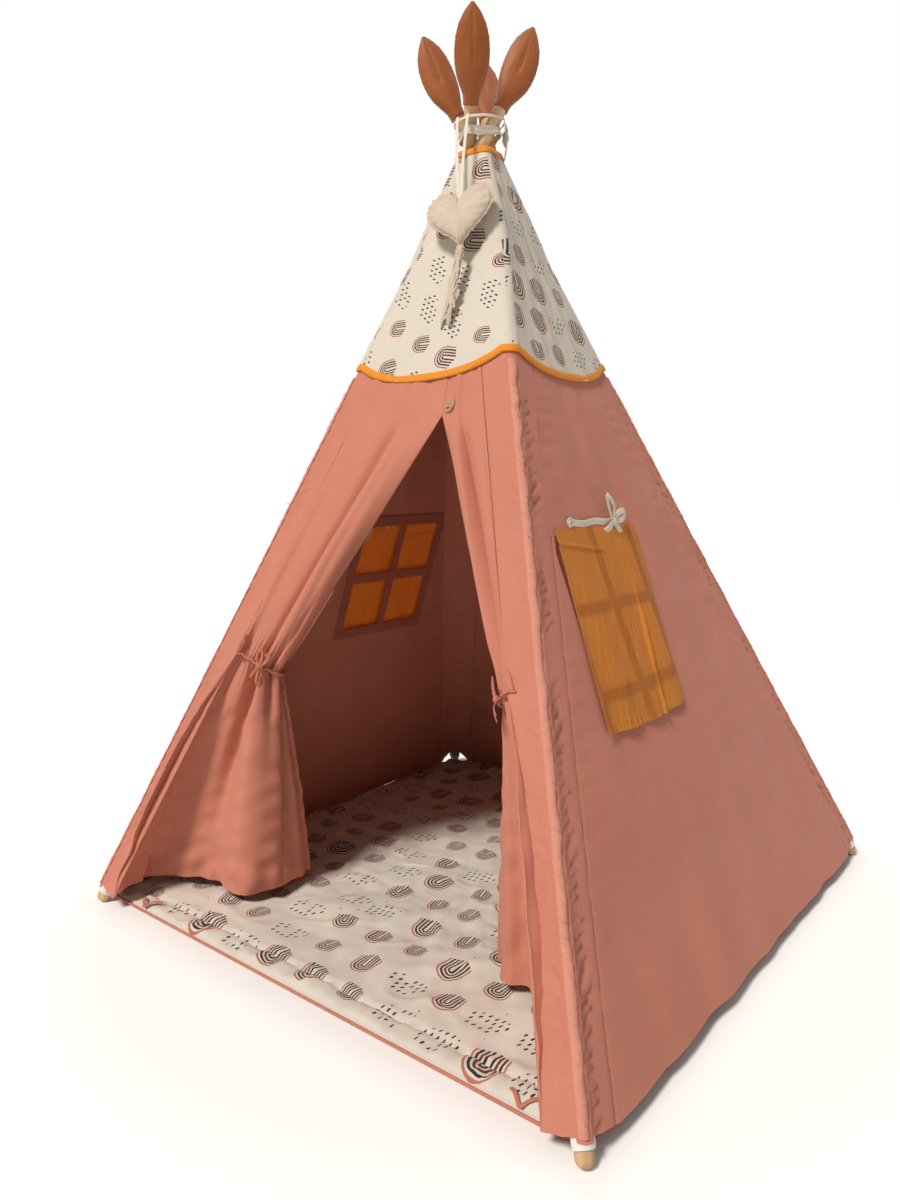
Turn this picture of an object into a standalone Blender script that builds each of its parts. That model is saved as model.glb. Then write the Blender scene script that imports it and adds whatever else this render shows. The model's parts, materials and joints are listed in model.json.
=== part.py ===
"""A child's play teepee: four wooden poles crossed at the top, a cloth cover with two windows
and a door tied back at both sides, a printed cap, leaf toppers, a heart pendant and a floor mat.

Metres, +Z up. The origin is on the floor under the crossing, and the door faces -Y.
Each pole is a frame of its own: its empty sits on the hinge at the crossing, with local Z up
along the pole and local Y along the hinge. The poles pass each other at the crossing, so a level
section through the cover is a square that turns a little with height, and every piece of cloth
is placed on it by a side, a distance from that side's middle, a distance outwards and a height.
"""

import math

import bmesh
import bpy
import numpy as np
from mathutils import Matrix, Vector

for thing in list(bpy.data.objects):
    bpy.data.objects.remove(thing, do_unlink=True)

# Frame
base_half = 0.550
crossing_height = 1.410
pole_diameter = 0.024
pole_sides = 18
pole_above_crossing = 0.124
crossing_gap = 0.0005
touch_gap = 0.0003
hem_height = 0.033
most_fold_degrees = 21.5

# Cloth
cloth = 0.0020
thin_cloth = 0.0015
sleeve_cloth = 0.0012
sleeve_play = 0.0004
sleeve_below_crossing = 0.420
cover_top_below_crossing = 0.230
cover_row = 0.080
most_turn_degrees = 8.0
casing_width = 0.045
seam_gap = 0.0015
seam_fin = 0.006
wall_hem_drop = 0.011
hem_corner = 0.070

# Door
slit_below_cap = 0.065
slit_x = 0.060
tie_height = 0.500
tail_hem_height = 0.034
tie_bundle = 0.022
tie_band = 0.009
drape_fold = 0.007
tail_fold = 0.015

# Windows
right_window_x = -0.108
left_window_x = -0.082
window_width = 0.240
window_low = 0.487
window_high = 0.715
window_border = 0.022
window_bar = 0.020
curtain_above_window = 0.009
curtain_shift = 0.026
curtain_width = 0.264
curtain_drop = 0.321
curtain_slant = 0.036
curtain_fold = 0.007
ribbon_width = 0.010
ribbon_length = 0.130

# Cap
cap_corner_below_crossing = 0.396
cap_scallop = 0.034
cap_top_below_crossing = 0.006
cap_knee_below_crossing = 0.150
cap_play = 0.0008
binding_width = 0.010
binding_cloth = 0.0018

# Foot loops
foot_loop_low = 0.0125
foot_loop_width = 0.014
foot_loop_web = 0.0016

# Leaf toppers
leaf_base = 0.0745
leaf_length = 0.153
leaf_bend = 0.022
leaf_half_width = 0.031
leaf_wall = 0.0020

# Ties at the crossing
pole_tie_low = 0.016
pole_tie_width = 0.022
heart_loop_low = 0.043
heart_loop_width = 0.007
tie_clearance = 0.0010
pole_tie_bow_degrees = 39.0

# Heart pendant
heart_width = 0.128
heart_height = 0.124
heart_thickness = 0.030
heart_below_crossing = 0.151
heart_x = 0.024
heart_yaw_degrees = 14.0
heart_tilt_degrees = 9.0
tape_width = 0.007
tape_spread = 0.024
tassel_length = 0.128
tassel_width = 0.026
tassel_cloth = 0.010

# Wooden tag
tag_width = 0.022
tag_length = 0.028
tag_thickness = 0.003
tag_hole = 0.0022
tag_above_slit = 0.029
tag_x = 0.072

# Floor mat
mat_inside_feet = 0.028
mat_corner = 0.030
mat_thickness = 0.016
mat_piping = 0.0030
mat_channel = 0.040
mat_tie_length = 0.052
mat_tie_radius = 0.0045
mat_tie_from_corner = 0.085

# Shares of a length, chosen by hand
leaf_shares = (
    # (along the leaf, half width, half thickness)
    (0.00, 0.47, 1.00),
    (0.10, 0.55, 1.00),
    (0.20, 0.78, 0.98),
    (0.30, 0.93, 0.95),
    (0.42, 1.00, 0.82),
    (0.55, 0.97, 0.68),
    (0.68, 0.84, 0.54),
    (0.80, 0.62, 0.40),
    (0.91, 0.33, 0.24),
    (1.00, 0.04, 0.05),
)
flat_bow_share = 0.8
mat_ridge_share = 0.95
heart_cleft_share = 0.272
bow_shares = (
    # (along the bow, radius)
    (-1.00, 0.30),
    (-0.88, 0.85),
    (-0.62, 1.00),
    (-0.34, 0.62),
    (-0.20, 0.40),
    (-0.13, 0.96),
    (0.13, 0.96),
    (0.20, 0.40),
    (0.34, 0.62),
    (0.62, 1.00),
    (0.88, 0.85),
    (1.00, 0.30),
)
tassel_shares = (
    # (down the tassel, half width, sideways)
    (0.00, 0.30, 0.00),
    (0.12, 0.62, 0.06),
    (0.26, 0.50, -0.05),
    (0.40, 0.86, 0.04),
    (0.55, 0.70, 0.10),
    (0.70, 1.00, -0.02),
    (0.86, 0.80, 0.06),
    (1.00, 0.34, 0.02),
)
# Across each door flap, from its stitch line to its free edge: X and Y as shares of the cover's
# half width at that height, mirrored by hand where the two flaps hang alike.
left_tie_shares = ((-0.780, -0.977), (-0.722, -0.950), (-0.680, -0.912), (-0.672, -0.868))
right_tie_shares = ((0.846, -0.966), (0.802, -0.926), (0.772, -0.888), (0.756, -0.850))
left_hem_shares = (
    (-0.905, -0.850),
    (-0.712, -0.722),
    (-0.548, -0.742),
    (-0.470, -0.630),
    (-0.482, -0.460),
)
right_hem_shares = (
    (0.880, -0.880),
    (0.700, -0.702),
    (0.586, -0.592),
    (0.516, -0.612),
    (0.412, -0.505),
)
curtain_wave_shares = (0.0, 0.35, 0.10, 0.55, 0.20, 0.80, 0.35, 0.10, 0.0)

# Sizes that follow
pole_radius = pole_diameter / 2
tilt = math.atan(base_half * math.sqrt(2) / crossing_height)
crossing_offset = (
    (pole_diameter + crossing_gap) * math.sqrt(1 + math.cos(tilt) ** 2) / (2 * math.cos(tilt))
)
pole_run = math.sqrt(2 * base_half**2 + crossing_offset**2 + crossing_height**2)
sleeve_bore = pole_radius + sleeve_play
sleeve_radius = sleeve_bore + sleeve_cloth
reach = sleeve_radius + touch_gap
lean = math.atan(base_half / crossing_height)
cover_top_height = crossing_height - cover_top_below_crossing
cap_corner_height = crossing_height - cap_corner_below_crossing
cap_knee_height = crossing_height - cap_knee_below_crossing
cap_top_height = crossing_height - cap_top_below_crossing
heart_centre_height = crossing_height - heart_below_crossing
slit_height = cap_corner_height - cap_scallop - slit_below_cap
curtain_top = window_high + curtain_above_window
tag_top_height = slit_height + tag_above_slit
mat_half = base_half - mat_inside_feet
cap_inside = cloth + cap_play
cap_outside = cap_inside + cloth
cap_top_inside = touch_gap - sleeve_radius + pole_radius
binding_outside = cap_outside + touch_gap + binding_cloth
CORNERS = {"front_left": (-1, -1), "front_right": (1, -1), "back_right": (1, 1), "back_left": (-1, 1)}
SIDES = {"front": 0, "right": 1, "back": 2, "left": 3}
WINDOWS = {"left": left_window_x, "right": right_window_x}


def finish(name, colour, roughness):
    """A Principled material with an sRGB hex colour."""
    material = bpy.data.materials.new(name)
    material.use_nodes = True
    shader = material.node_tree.nodes["Principled BSDF"]
    levels = [int(colour[i : i + 2], 16) / 255 for i in (0, 2, 4)]
    linear = [c / 12.92 if c <= 0.04045 else ((c + 0.055) / 1.055) ** 2.4 for c in levels]
    shader.inputs["Base Color"].default_value = (*linear, 1)
    shader.inputs["Roughness"].default_value = roughness
    material.diffuse_color = (*linear, 1)
    return material


terracotta = finish("terracotta_cotton", "C06A55", 0.85)
printed = finish("printed_cotton", "E6DED0", 0.85)
orange = finish("orange_cotton", "E08A2C", 0.8)
muslin = finish("orange_muslin", "C7732F", 0.85)
rust = finish("rust_leaf_cloth", "B5652C", 0.8)
linen = finish("natural_linen", "DACDB8", 0.9)
webbing = finish("white_webbing", "EFEDE8", 0.8)
pine = finish("pine", "D9B98C", 0.55)
plywood = finish("birch_plywood", "B48F66", 0.5)


def solid(name, points, faces, material, parent=None, smooth=False):
    """One closed body as a named object, its faces turned outwards."""
    mesh = bpy.data.meshes.new(name)
    mesh.from_pydata([tuple(p) for p in points], [], faces)
    shape = bmesh.new()
    shape.from_mesh(mesh)
    bmesh.ops.recalc_face_normals(shape, faces=shape.faces)
    if shape.calc_volume(signed=True) < 0:
        bmesh.ops.reverse_faces(shape, faces=shape.faces)
    shape.to_mesh(mesh)
    shape.free()
    if smooth:
        mesh.shade_smooth()
        mesh.set_sharp_from_angle(angle=math.radians(40))
    return place(name, mesh, material, parent)


def place(name, mesh, material, parent=None):
    """An object for a mesh, which repeated pieces share."""
    if not mesh.materials:
        mesh.materials.append(material)
    thing = bpy.data.objects.new(name, mesh)
    bpy.context.scene.collection.objects.link(thing)
    thing.parent = parent
    return thing


def axis_empty(name, matrix, parent=None):
    """An empty on a joint's axis, placed in the world even where it has a parent."""
    empty = bpy.data.objects.new(name, None)
    bpy.context.scene.collection.objects.link(empty)
    empty.parent = parent
    empty.matrix_world = matrix
    bpy.context.view_layer.update()
    return empty


def loft(rings, wrap=False):
    """Points and faces of a skin over rings of equal count: capped, or joined last to first."""
    count = len(rings[0])
    points = [p for ring in rings for p in ring]
    faces = []
    for r in range(len(rings) if wrap else len(rings) - 1):
        here, there = r * count, (r + 1) % len(rings) * count
        for c in range(count):
            d = (c + 1) % count
            faces.append((here + c, here + d, there + d, there + c))
    if not wrap:
        faces.append(tuple(range(count))[::-1])
        faces.append(tuple((len(rings) - 1) * count + c for c in range(count)))
    return points, faces


def circle(radius, height, sides, second=None):
    """A ring round local Z. With a second radius it is an ellipse, that one along local Y."""
    across = radius if second is None else second
    turns = [2 * math.pi * i / sides for i in range(sides)]
    return [Vector((radius * math.cos(a), across * math.sin(a), height)) for a in turns]


def thick(grid, thickness):
    """Points and faces of a cloth sheet with this thickness round a grid of points."""
    grid = np.array(grid, float)
    down, along = np.gradient(grid, axis=0), np.gradient(grid, axis=1)
    normal = np.cross(along, down)
    normal /= np.linalg.norm(normal, axis=2, keepdims=True)
    rows, columns = grid.shape[:2]
    half = thickness / 2
    points = np.concatenate([(grid + normal * half).reshape(-1, 3), (grid - normal * half).reshape(-1, 3)])
    back = rows * columns
    faces = []
    for r in range(rows - 1):
        for c in range(columns - 1):
            i = r * columns + c
            faces.append((i, i + columns, i + columns + 1, i + 1))
            faces.append((back + i, back + i + 1, back + i + columns + 1, back + i + columns))
    rim = [c for c in range(columns)]
    rim += [r * columns + columns - 1 for r in range(1, rows)]
    rim += [(rows - 1) * columns + c for c in range(columns - 2, -1, -1)]
    rim += [r * columns for r in range(rows - 2, 0, -1)]
    for i, j in zip(rim, rim[1:] + rim[:1], strict=True):
        faces.append((i, j, back + j, back + i))
    return [Vector(p) for p in points], faces


def plate(side, rows, outwards, thickness, open_cells=()):
    """A panel on one side of the cover, its inner face this far outwards. Each row is a list of
    (place from the side's middle, height)."""
    columns = len(rows[0])
    inner = [side_point(side, x, outwards, z) for row in rows for x, z in row]
    outer = [side_point(side, x, outwards + thickness, z) for row in rows for x, z in row]
    back = len(inner)
    filled = {
        (r, c) for r in range(len(rows) - 1) for c in range(columns - 1) if (r, c) not in open_cells
    }
    faces = []
    for r, c in sorted(filled):
        i = r * columns + c
        ring = (i, i + 1, i + columns + 1, i + columns)
        faces.append(ring)
        faces.append(tuple(back + k for k in reversed(ring)))
        around = ((r - 1, c), (r, c + 1), (r + 1, c), (r, c - 1))
        for edge, beside in enumerate(around):
            if beside not in filled:
                a, b = ring[edge], ring[(edge + 1) % 4]
                faces.append((a, b, back + b, back + a))
    return inner + outer, faces


def section(height):
    """The square between the poles' axes at a height: half its side, and how far it has turned.
    Near the crossing it stops turning and grows instead, so that it still goes round them all."""
    share = height / crossing_height
    away, around = base_half * math.sqrt(2) * (1 - share), crossing_offset * share
    turn = math.atan2(around, away)
    kept = min(turn, math.radians(most_turn_degrees))
    more = turn - kept
    return math.hypot(away, around) / math.sqrt(2) * (math.cos(more) + math.sin(more)), kept


def side_point(side, x, outwards, height):
    """A point this far outside the inner face of a side, and x from its middle."""
    half, turn = section(height)
    point = Vector((x, -half - (reach + outwards) / math.cos(lean), height))
    return Matrix.Rotation(SIDES[side] * math.pi / 2 + turn, 3, "Z") @ point


def half_at(height):
    """Half the width of a side at a height, out to where the sleeves touch it."""
    return section(height)[0]


def outer_half_at(height):
    return half_at(height) + reach / math.cos(lean)


def heights(low, high, *between):
    """Heights from low to high, about evenly spaced, that take in the ones between."""
    stops = sorted({low, high, *between})
    found = [low]
    for a, b in zip(stops, stops[1:], strict=False):
        count = max(1, round((b - a) / cover_row))
        found += [a + (b - a) * (i + 1) / count for i in range(count)]
    return found


def pole_matrix(corner):
    """The pole's frame: origin on its hinge, local Y the hinge, local Z up the pole."""
    sx, sy = CORNERS[corner]
    outward = Vector((sx, sy, 0)).normalized()
    around = Vector((-outward.y, outward.x, 0))
    crossing = around * crossing_offset + Vector((0, 0, crossing_height))
    foot = Vector((sx * base_half, sy * base_half, 0))
    up = (crossing - foot).normalized()
    hinge = (around - around.dot(up) * up).normalized()
    axes = Matrix((hinge.cross(up), hinge, up)).transposed().to_4x4()
    return Matrix.Translation(crossing) @ axes


def pole_mesh():
    """A dowel with a rounded foot that touches the floor and a chamfered top."""
    foot = -pole_run + pole_radius / math.cos(tilt)
    steps = 5
    rings = []
    for i in range(1, steps + 1):
        turn = math.pi / 2 * i / steps
        rings.append(
            circle(pole_radius * math.sin(turn), foot - pole_radius * math.cos(turn), pole_sides)
        )
    chamfer = pole_radius / 6
    rings.append(circle(pole_radius, pole_above_crossing - chamfer, pole_sides))
    rings.append(circle(pole_radius - chamfer, pole_above_crossing, pole_sides))
    return loft(rings)


def tube(bore, radius, low, high, sides):
    """A sleeve round local Z, open at both ends."""
    rings = [
        circle(bore, low, sides),
        circle(radius, low, sides),
        circle(radius, high, sides),
        circle(bore, high, sides),
    ]
    return loft(rings, wrap=True)


def leaf_mesh(flat_on, sides=16):
    """A stuffed leaf along local Z with a round pocket for the pole's end. It is widest along
    local X, and bends back upright: along X where it is flat on to the slope, else along Y."""
    base_radius = sleeve_bore + leaf_wall
    rings = []
    for along, wide, deep in reversed(leaf_shares):
        width = max(wide * leaf_half_width, base_radius * deep if along < leaf_shares[3][0] else 0)
        bend = leaf_bend * max(0, along - leaf_shares[3][0]) ** 1.6
        shift = Vector((bend, 0, 0)) if flat_on else Vector((0, -bend, 0))
        ring = circle(width, leaf_base + along * leaf_length, sides, deep * base_radius)
        rings.append([p + shift for p in ring])
    rings.append(circle(sleeve_bore, leaf_base, sides))
    rings.append(circle(sleeve_bore, pole_above_crossing + touch_gap, sides))
    return loft(rings)


def make_poles():
    """Pole, cloth sleeve with its seam, foot loop and leaf topper, on each pole's empty."""
    hem = -pole_run + hem_height / math.cos(tilt)
    loop_low = -pole_run + foot_loop_low / math.cos(tilt)
    loop_high = loop_low + foot_loop_width - touch_gap
    loop_radius = sleeve_bore + foot_loop_web
    seam_top = -(crossing_height - cap_corner_height + cap_scallop / 2) / math.cos(tilt)
    seam = (reach, reach + seam_fin, cloth / 2)
    seam_rings = []
    for height in (hem + seam_fin, seam_top):
        near, far, side = seam
        flat = ((near, -side), (far, -side), (far, side), (near, side))
        seam_rings.append([Vector((x, y, height)) for x, y in flat])
    made = {
        "pole": (pole_mesh(), pine),
        "pole_sleeve": (
            tube(sleeve_bore, sleeve_radius, hem, -sleeve_below_crossing, pole_sides),
            terracotta,
        ),
        "corner_seam": (loft(seam_rings), terracotta),
        "foot_loop": (tube(sleeve_bore, loop_radius, loop_low, loop_high, pole_sides), webbing),
    }
    shared = {}
    for number, corner in enumerate(CORNERS):
        pole_axis = axis_empty(f"pole_hinge_{corner}", pole_matrix(corner))
        turned = number % 2
        turn = Matrix.Rotation(math.pi / 2 * turned, 4, "Z")
        leaf_axis = axis_empty(f"topper_slide_{corner}", pole_matrix(corner) @ turn, pole_axis)
        pieces = [(f"{kind}_{corner}", kind, *made[kind], pole_axis) for kind in made]
        leaf = leaf_mesh(not turned)
        pieces.append((f"leaf_topper_{corner}", f"leaf_{turned}", leaf, rust, leaf_axis))
        for name, key, (points, faces), material, parent in pieces:
            if key in shared:
                place(name, shared[key], material, parent)
            else:
                smooth = key != "corner_seam"
                shared[key] = solid(name, points, faces, material, parent, smooth=smooth).data


def across(height, *places):
    """Places along a row from one sleeve to the other, with these between."""
    half = half_at(height) - touch_gap
    return [(x, height) for x in (-half, *places, half)]


def hem_row_at(height, *places):
    """The lowest row of a wall, which hangs lower away from its corners."""
    half = half_at(height) - touch_gap
    low = height - wall_hem_drop
    inner = half - hem_corner
    return [(-half, height), (-inner, low), *((x, low) for x in places), (inner, low), (half, height)]


def make_walls():
    """The back wall, the two side walls with their window openings, and the inner window frames."""
    for side, window_x in WINDOWS.items():
        span = (window_x - window_width / 2, window_x + window_width / 2)
        rows = []
        for z in heights(hem_height, cover_top_height, window_low, window_high):
            half = half_at(z) - touch_gap
            narrow = min(1, half / half_at(window_high))
            inner = half * (1 - hem_corner / half_at(hem_height))
            places = [-inner, span[0] * narrow, span[1] * narrow, inner]
            rows.append(across(z, *places) if rows else hem_row_at(z, *span))
        low = min(r for r, row in enumerate(rows) if row[2][1] >= window_low - touch_gap / 2)
        high = min(r for r, row in enumerate(rows) if row[2][1] >= window_high - touch_gap / 2)
        opening = {(r, 2) for r in range(low, high)}
        points, faces = plate(side, rows, 0, cloth, opening)
        solid(f"{side}_wall", points, faces, terracotta)

        middle = (window_low + window_high) / 2
        steep = math.cos(lean)
        border, bar = window_border * steep, window_bar / 2 * steep
        levels = [window_low - border, window_low, middle - bar, middle + bar]
        levels += [window_high, window_high + border]
        places = [span[0] - window_border, span[0], window_x - window_bar / 2]
        places += [window_x + window_bar / 2, span[1], span[1] + window_border]
        panes = {(1, 1), (1, 3), (3, 1), (3, 3)}
        rows = [[(x, z) for x in places] for z in levels]
        points, faces = plate(side, rows, -touch_gap - thin_cloth, thin_cloth, panes)
        solid(f"{side}_window_frame", points, faces, terracotta)

    spread = [-1 + 2 * j / 6 for j in range(7)]
    inner = half_at(hem_height) - touch_gap - hem_corner
    rows = [hem_row_at(hem_height, *(inner * share for share in spread[1:-1]))]
    for z in heights(hem_height, cover_top_height)[1:]:
        inner = (half_at(z) - touch_gap) * (1 - hem_corner / half_at(hem_height))
        rows.append(across(z, *(inner * share for share in spread)))
    points, faces = plate("back", rows, 0, cloth)
    solid("back_wall", points, faces, terracotta)


def make_front():
    """The yoke over the door and the casing strips down both poles."""
    spread = [-1 + 2 * j / 8 for j in range(1, 8)]
    levels = heights(slit_height, cover_top_height)
    rows = [across(z, *(half_at(z) * share for share in spread)) for z in levels]
    points, faces = plate("front", rows, 0, cloth)
    solid("front_yoke", points, faces, terracotta)
    for hand, name in ((-1, "left_door_casing"), (1, "right_door_casing")):
        rows = []
        for z in heights(hem_height, slit_height - touch_gap):
            corner = half_at(z) - touch_gap
            rows.append([(x, z) for x in sorted((hand * corner, hand * (corner - casing_width)))])
        points, faces = plate("front", rows, 0, cloth)
        solid(name, points, faces, terracotta)


def cap_ring(outwards, height_at, parts=8):
    """Points round the four sides at this distance outside the cover, rounded over each pole."""
    ring = []
    for side in SIDES:
        for j in range(parts + 1):
            share = -1 + 2 * j / parts
            z = height_at(share)
            ring.append(side_point(side, share * half_at(z), outwards, z))
        z = height_at(1)
        half, turn = section(z)
        for eighth in (1, 2, 3):
            angle = eighth * math.pi / 8
            slant = lean + (tilt - lean) * (1 - abs(eighth - 2) / 2)
            round_pole = (reach + outwards) / math.cos(slant)
            point = Vector((half + round_pole * math.sin(angle), -half - round_pole * math.cos(angle), z))
            ring.append(Matrix.Rotation(SIDES[side] * math.pi / 2 + turn, 3, "Z") @ point)
    return ring


def cap_hem(share):
    """The scalloped hem: lowest at the middle of each side."""
    return cap_corner_height - cap_scallop * (1 - abs(share) ** 2.4)


def band(name, profile, material):
    """A closed skin round the cover from rings of (outwards, height at each place)."""
    points, faces = loft([cap_ring(outwards, height_at) for outwards, height_at in profile], wrap=True)
    return solid(name, points, faces, material)


def make_cap():
    """The printed cap that hangs over the cover, and the binding on its two edges."""

    def level(height):
        return lambda share: height

    rise = [cap_corner_height + cover_row / 2, (cap_corner_height + cap_knee_height) / 2, cap_knee_height]
    rise.append((cap_knee_height + cap_top_height) / 2)
    outwards = [cap_inside] * 3 + [(cap_inside + cap_top_inside) / 2]
    inner = [(o, level(z)) for o, z in zip(outwards, rise, strict=True)]
    outer = [(o + cloth, level(z)) for o, z in zip(outwards, rise, strict=True)]
    top = level(cap_top_height)
    profile = [(cap_inside, cap_hem), (cap_outside, cap_hem), *outer, (cap_top_inside + cloth, top)]
    profile += [(cap_top_inside, top), *reversed(inner)]
    band("cap", profile, printed)

    near, far = cap_outside + touch_gap, binding_outside

    def over_hem(share):
        return cap_hem(share) + binding_width

    band("cap_hem_binding", [(near, cap_hem), (far, cap_hem), (far, over_hem), (near, over_hem)], orange)
    low = level(cap_top_height - binding_width)
    step = (cap_inside - cap_top_inside) * binding_width / (cap_top_height - rise[-1]) / 2
    near = cap_top_inside + cloth + step + touch_gap
    far = near + binding_cloth
    band("cap_top_binding", [(near, low), (far, low), (far, top), (near, top)], orange)


def smooth_path(knots, count):
    """Points on a Catmull-Rom curve through the knots, evenly spaced by the knots' own distances."""
    knots = [Vector(k) for k in knots]
    spans = [0.0]
    for a, b in zip(knots, knots[1:], strict=False):
        spans.append(spans[-1] + (b - a).length)
    path = []
    for i in range(count):
        at = spans[-1] * i / (count - 1)
        k = max(j for j in range(len(knots) - 1) if spans[j] <= at + 1e-12)
        t = (at - spans[k]) / (spans[k + 1] - spans[k])
        a, b = knots[max(k - 1, 0)], knots[k]
        c, d = knots[k + 1], knots[min(k + 2, len(knots) - 1)]
        path.append(
            0.5 * (2 * b + (c - a) * t + (2 * a - 5 * b + 4 * c - d) * t**2 + (3 * b - a - 3 * c + d) * t**3)
        )
    return path


def stitch_point(hand, height):
    """Where a door flap begins: just inside its casing strip, in the middle of the cloth."""
    place_x = half_at(height) - touch_gap - casing_width - seam_gap
    return side_point("front", hand * place_x, cloth / 2, height)


def flap_axis(hand):
    """The stitch line's direction, upwards."""
    return (stitch_point(hand, slit_height) - stitch_point(hand, hem_height)).normalized()


def tie_row(hand, shares, count):
    """Across the flap where it is tied, in the plane square to the stitch line."""
    start, axis = stitch_point(hand, tie_height), flap_axis(hand)
    half = outer_half_at(tie_height)
    knots = [start]
    for x, y in shares:
        flat = Vector((x * half - start.x, y * half - start.y, 0))
        knots.append(start + flat - Vector((0, 0, flat.dot(axis) / axis.z)))
    return smooth_path(knots, count)


def hem_row(hand, shares, count):
    half = outer_half_at(tail_hem_height)
    start = stitch_point(hand, tail_hem_height)
    knots = [start, *(Vector((x * half, y * half, tail_hem_height)) for x, y in shares)]
    return smooth_path(knots, count)


def folded(first, last, rows, depth, waves, to_hem=False):
    """A grid between two rows with folds square to it: deepest midway, or deepest at the hem."""
    grid = []
    count = len(first)
    for r in range(rows):
        g = r / (rows - 1)
        line = [a.lerp(b, g) for a, b in zip(first, last, strict=True)]
        strength = depth * (g**0.7 if to_hem else 4 * g * (1 - g))
        row = []
        for c, point in enumerate(line):
            before, after = line[max(c - 1, 0)], line[min(c + 1, count - 1)]
            across = (after - before).normalized()
            fall = (last[c] - first[c]).normalized()
            share = c / (count - 1)
            settle = min(1, share * 3) * min(1, (1 - share) * 5 + 0.3)
            wave = math.sin(2 * math.pi * waves * share)
            row.append(point + across.cross(fall).normalized() * wave * strength * settle)
        grid.append(row)
    return grid


def make_door():
    """Each flap is gathered at its tie: the drape above is fixed, the tail below swings."""
    columns, drape_rows, tail_rows = 19, 9, 9
    waves = 3.5
    for hand, name, tie_shares, hem_shares in (
        (-1, "left", left_tie_shares, left_hem_shares),
        (1, "right", right_tie_shares, right_hem_shares),
    ):
        axis = flap_axis(hand)
        tie = tie_row(hand, tie_shares, columns)
        start = stitch_point(hand, slit_height - cloth)
        end = side_point("front", slit_x + hand * seam_gap / 2, cloth / 2, slit_height - cloth)
        top = [start.lerp(end, c / (columns - 1)) for c in range(columns)]
        clear = axis * (tie_band / 2 + 2 * touch_gap)
        grid = folded(top, [p + clear for p in tie], drape_rows, drape_fold * hand, waves)
        points, faces = thick(grid, cloth)
        solid(f"{name}_door_drape", points, faces, terracotta, smooth=True)

        hinge = stitch_point(hand, tail_hem_height)
        tail_axis = axis_empty(f"{name}_flap_hinge", Matrix.Translation(hinge))
        hem = hem_row(hand, hem_shares, columns)
        grid = folded([p - clear for p in tie], hem, tail_rows, tail_fold * hand, waves, True)
        points, faces = thick([[p - hinge for p in row] for row in grid], cloth)
        solid(f"{name}_door_tail", points, faces, terracotta, tail_axis, smooth=True)

        middle = tie[1:-1:2]
        rings = []
        for i, point in enumerate(middle):
            before, after = middle[max(i - 1, 0)], middle[min(i + 1, len(middle) - 1)]
            along = (after - before).normalized()
            across = along.cross(axis).normalized()
            width = tie_bundle / 2 * (0.6 if i in (0, len(middle) - 1) else 1)
            ring = []
            for k in range(12):
                turn = 2 * math.pi * k / 12
                ring.append(point + across * width * math.cos(turn) + axis * tie_band / 2 * math.sin(turn))
            rings.append(ring)
        points, faces = loft(rings)
        solid(f"{name}_tie_back", points, faces, terracotta, smooth=True)

        knot, along = tie[columns // 2], (tie[-3] - tie[2]).normalized()
        out = along.cross(axis).normalized()
        out = out if out.y < 0 else -out
        radius = tie_band * 0.55
        seat = knot + out * (tie_bundle / 2 + 2 * touch_gap) + axis * touch_gap
        bow(f"{name}_tie_bow", seat, along, out, tie_bundle, radius, terracotta)


def bow(name, centre, along, out, length, radius, material, parent=None):
    """A tied bow: two loops either side of a knot, along one line, resting on the point given."""
    centre = centre + out * (radius * flat_bow_share + touch_gap)
    side = along.cross(out).normalized()
    rings = []
    for place_share, size in bow_shares:
        middle = centre + along * place_share * length
        ring = []
        for k in range(8):
            turn = 2 * math.pi * k / 8
            round_it = side * math.cos(turn) + out * flat_bow_share * math.sin(turn)
            ring.append(middle + round_it * size * radius)
        rings.append(ring)
    points, faces = loft(rings)
    return solid(name, points, faces, material, parent, smooth=True)


def make_windows():
    """Each window's muslin curtain hangs outside from its top seam, under a tied ribbon."""
    columns, rows = 9, 9
    steep = math.cos(lean)
    outside = cloth + touch_gap
    for side, window_x in WINDOWS.items():
        middle = window_x + curtain_shift
        hinge = side_point(side, middle, outside + thin_cloth, curtain_top)
        curtain_axis = axis_empty(f"{side}_curtain_hinge", Matrix.Translation(hinge))
        grid = []
        for r in range(rows):
            g = r / (rows - 1)
            row = []
            for c in range(columns):
                x = middle + curtain_width * (c / (columns - 1) - 0.5) - curtain_slant * g
                out = outside + thin_cloth + curtain_wave_shares[c] * curtain_fold * g**0.6
                row.append(side_point(side, x, out, curtain_top - curtain_drop * g * steep) - hinge)
            grid.append(row)
        points, faces = thick(grid, thin_cloth)
        solid(f"{side}_window_curtain", points, faces, muslin, curtain_axis, smooth=True)

        end = middle + curtain_width / 6
        low = curtain_top + 2 * seam_gap
        rows_x = [end - ribbon_length, end - ribbon_length / 2, end]
        lines = [[(x, z) for x in rows_x] for z in (low, low + ribbon_width)]
        points, faces = plate(side, lines, outside, thin_cloth)
        solid(f"{side}_window_ribbon", points, faces, linen)
        radius = ribbon_width * 0.7
        centre_x = end + radius + ribbon_width
        centre = side_point(side, centre_x, outside, low + radius)
        along = (side_point(side, centre_x, 0, low) - side_point(side, 0, 0, low)).normalized()
        out = (centre - side_point(side, centre_x, 0, low + radius)).normalized()
        out = (out - out.dot(along) * along).normalized()
        bow(f"{side}_window_bow", centre, along, out, ribbon_width * 1.6, radius, linen)


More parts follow.
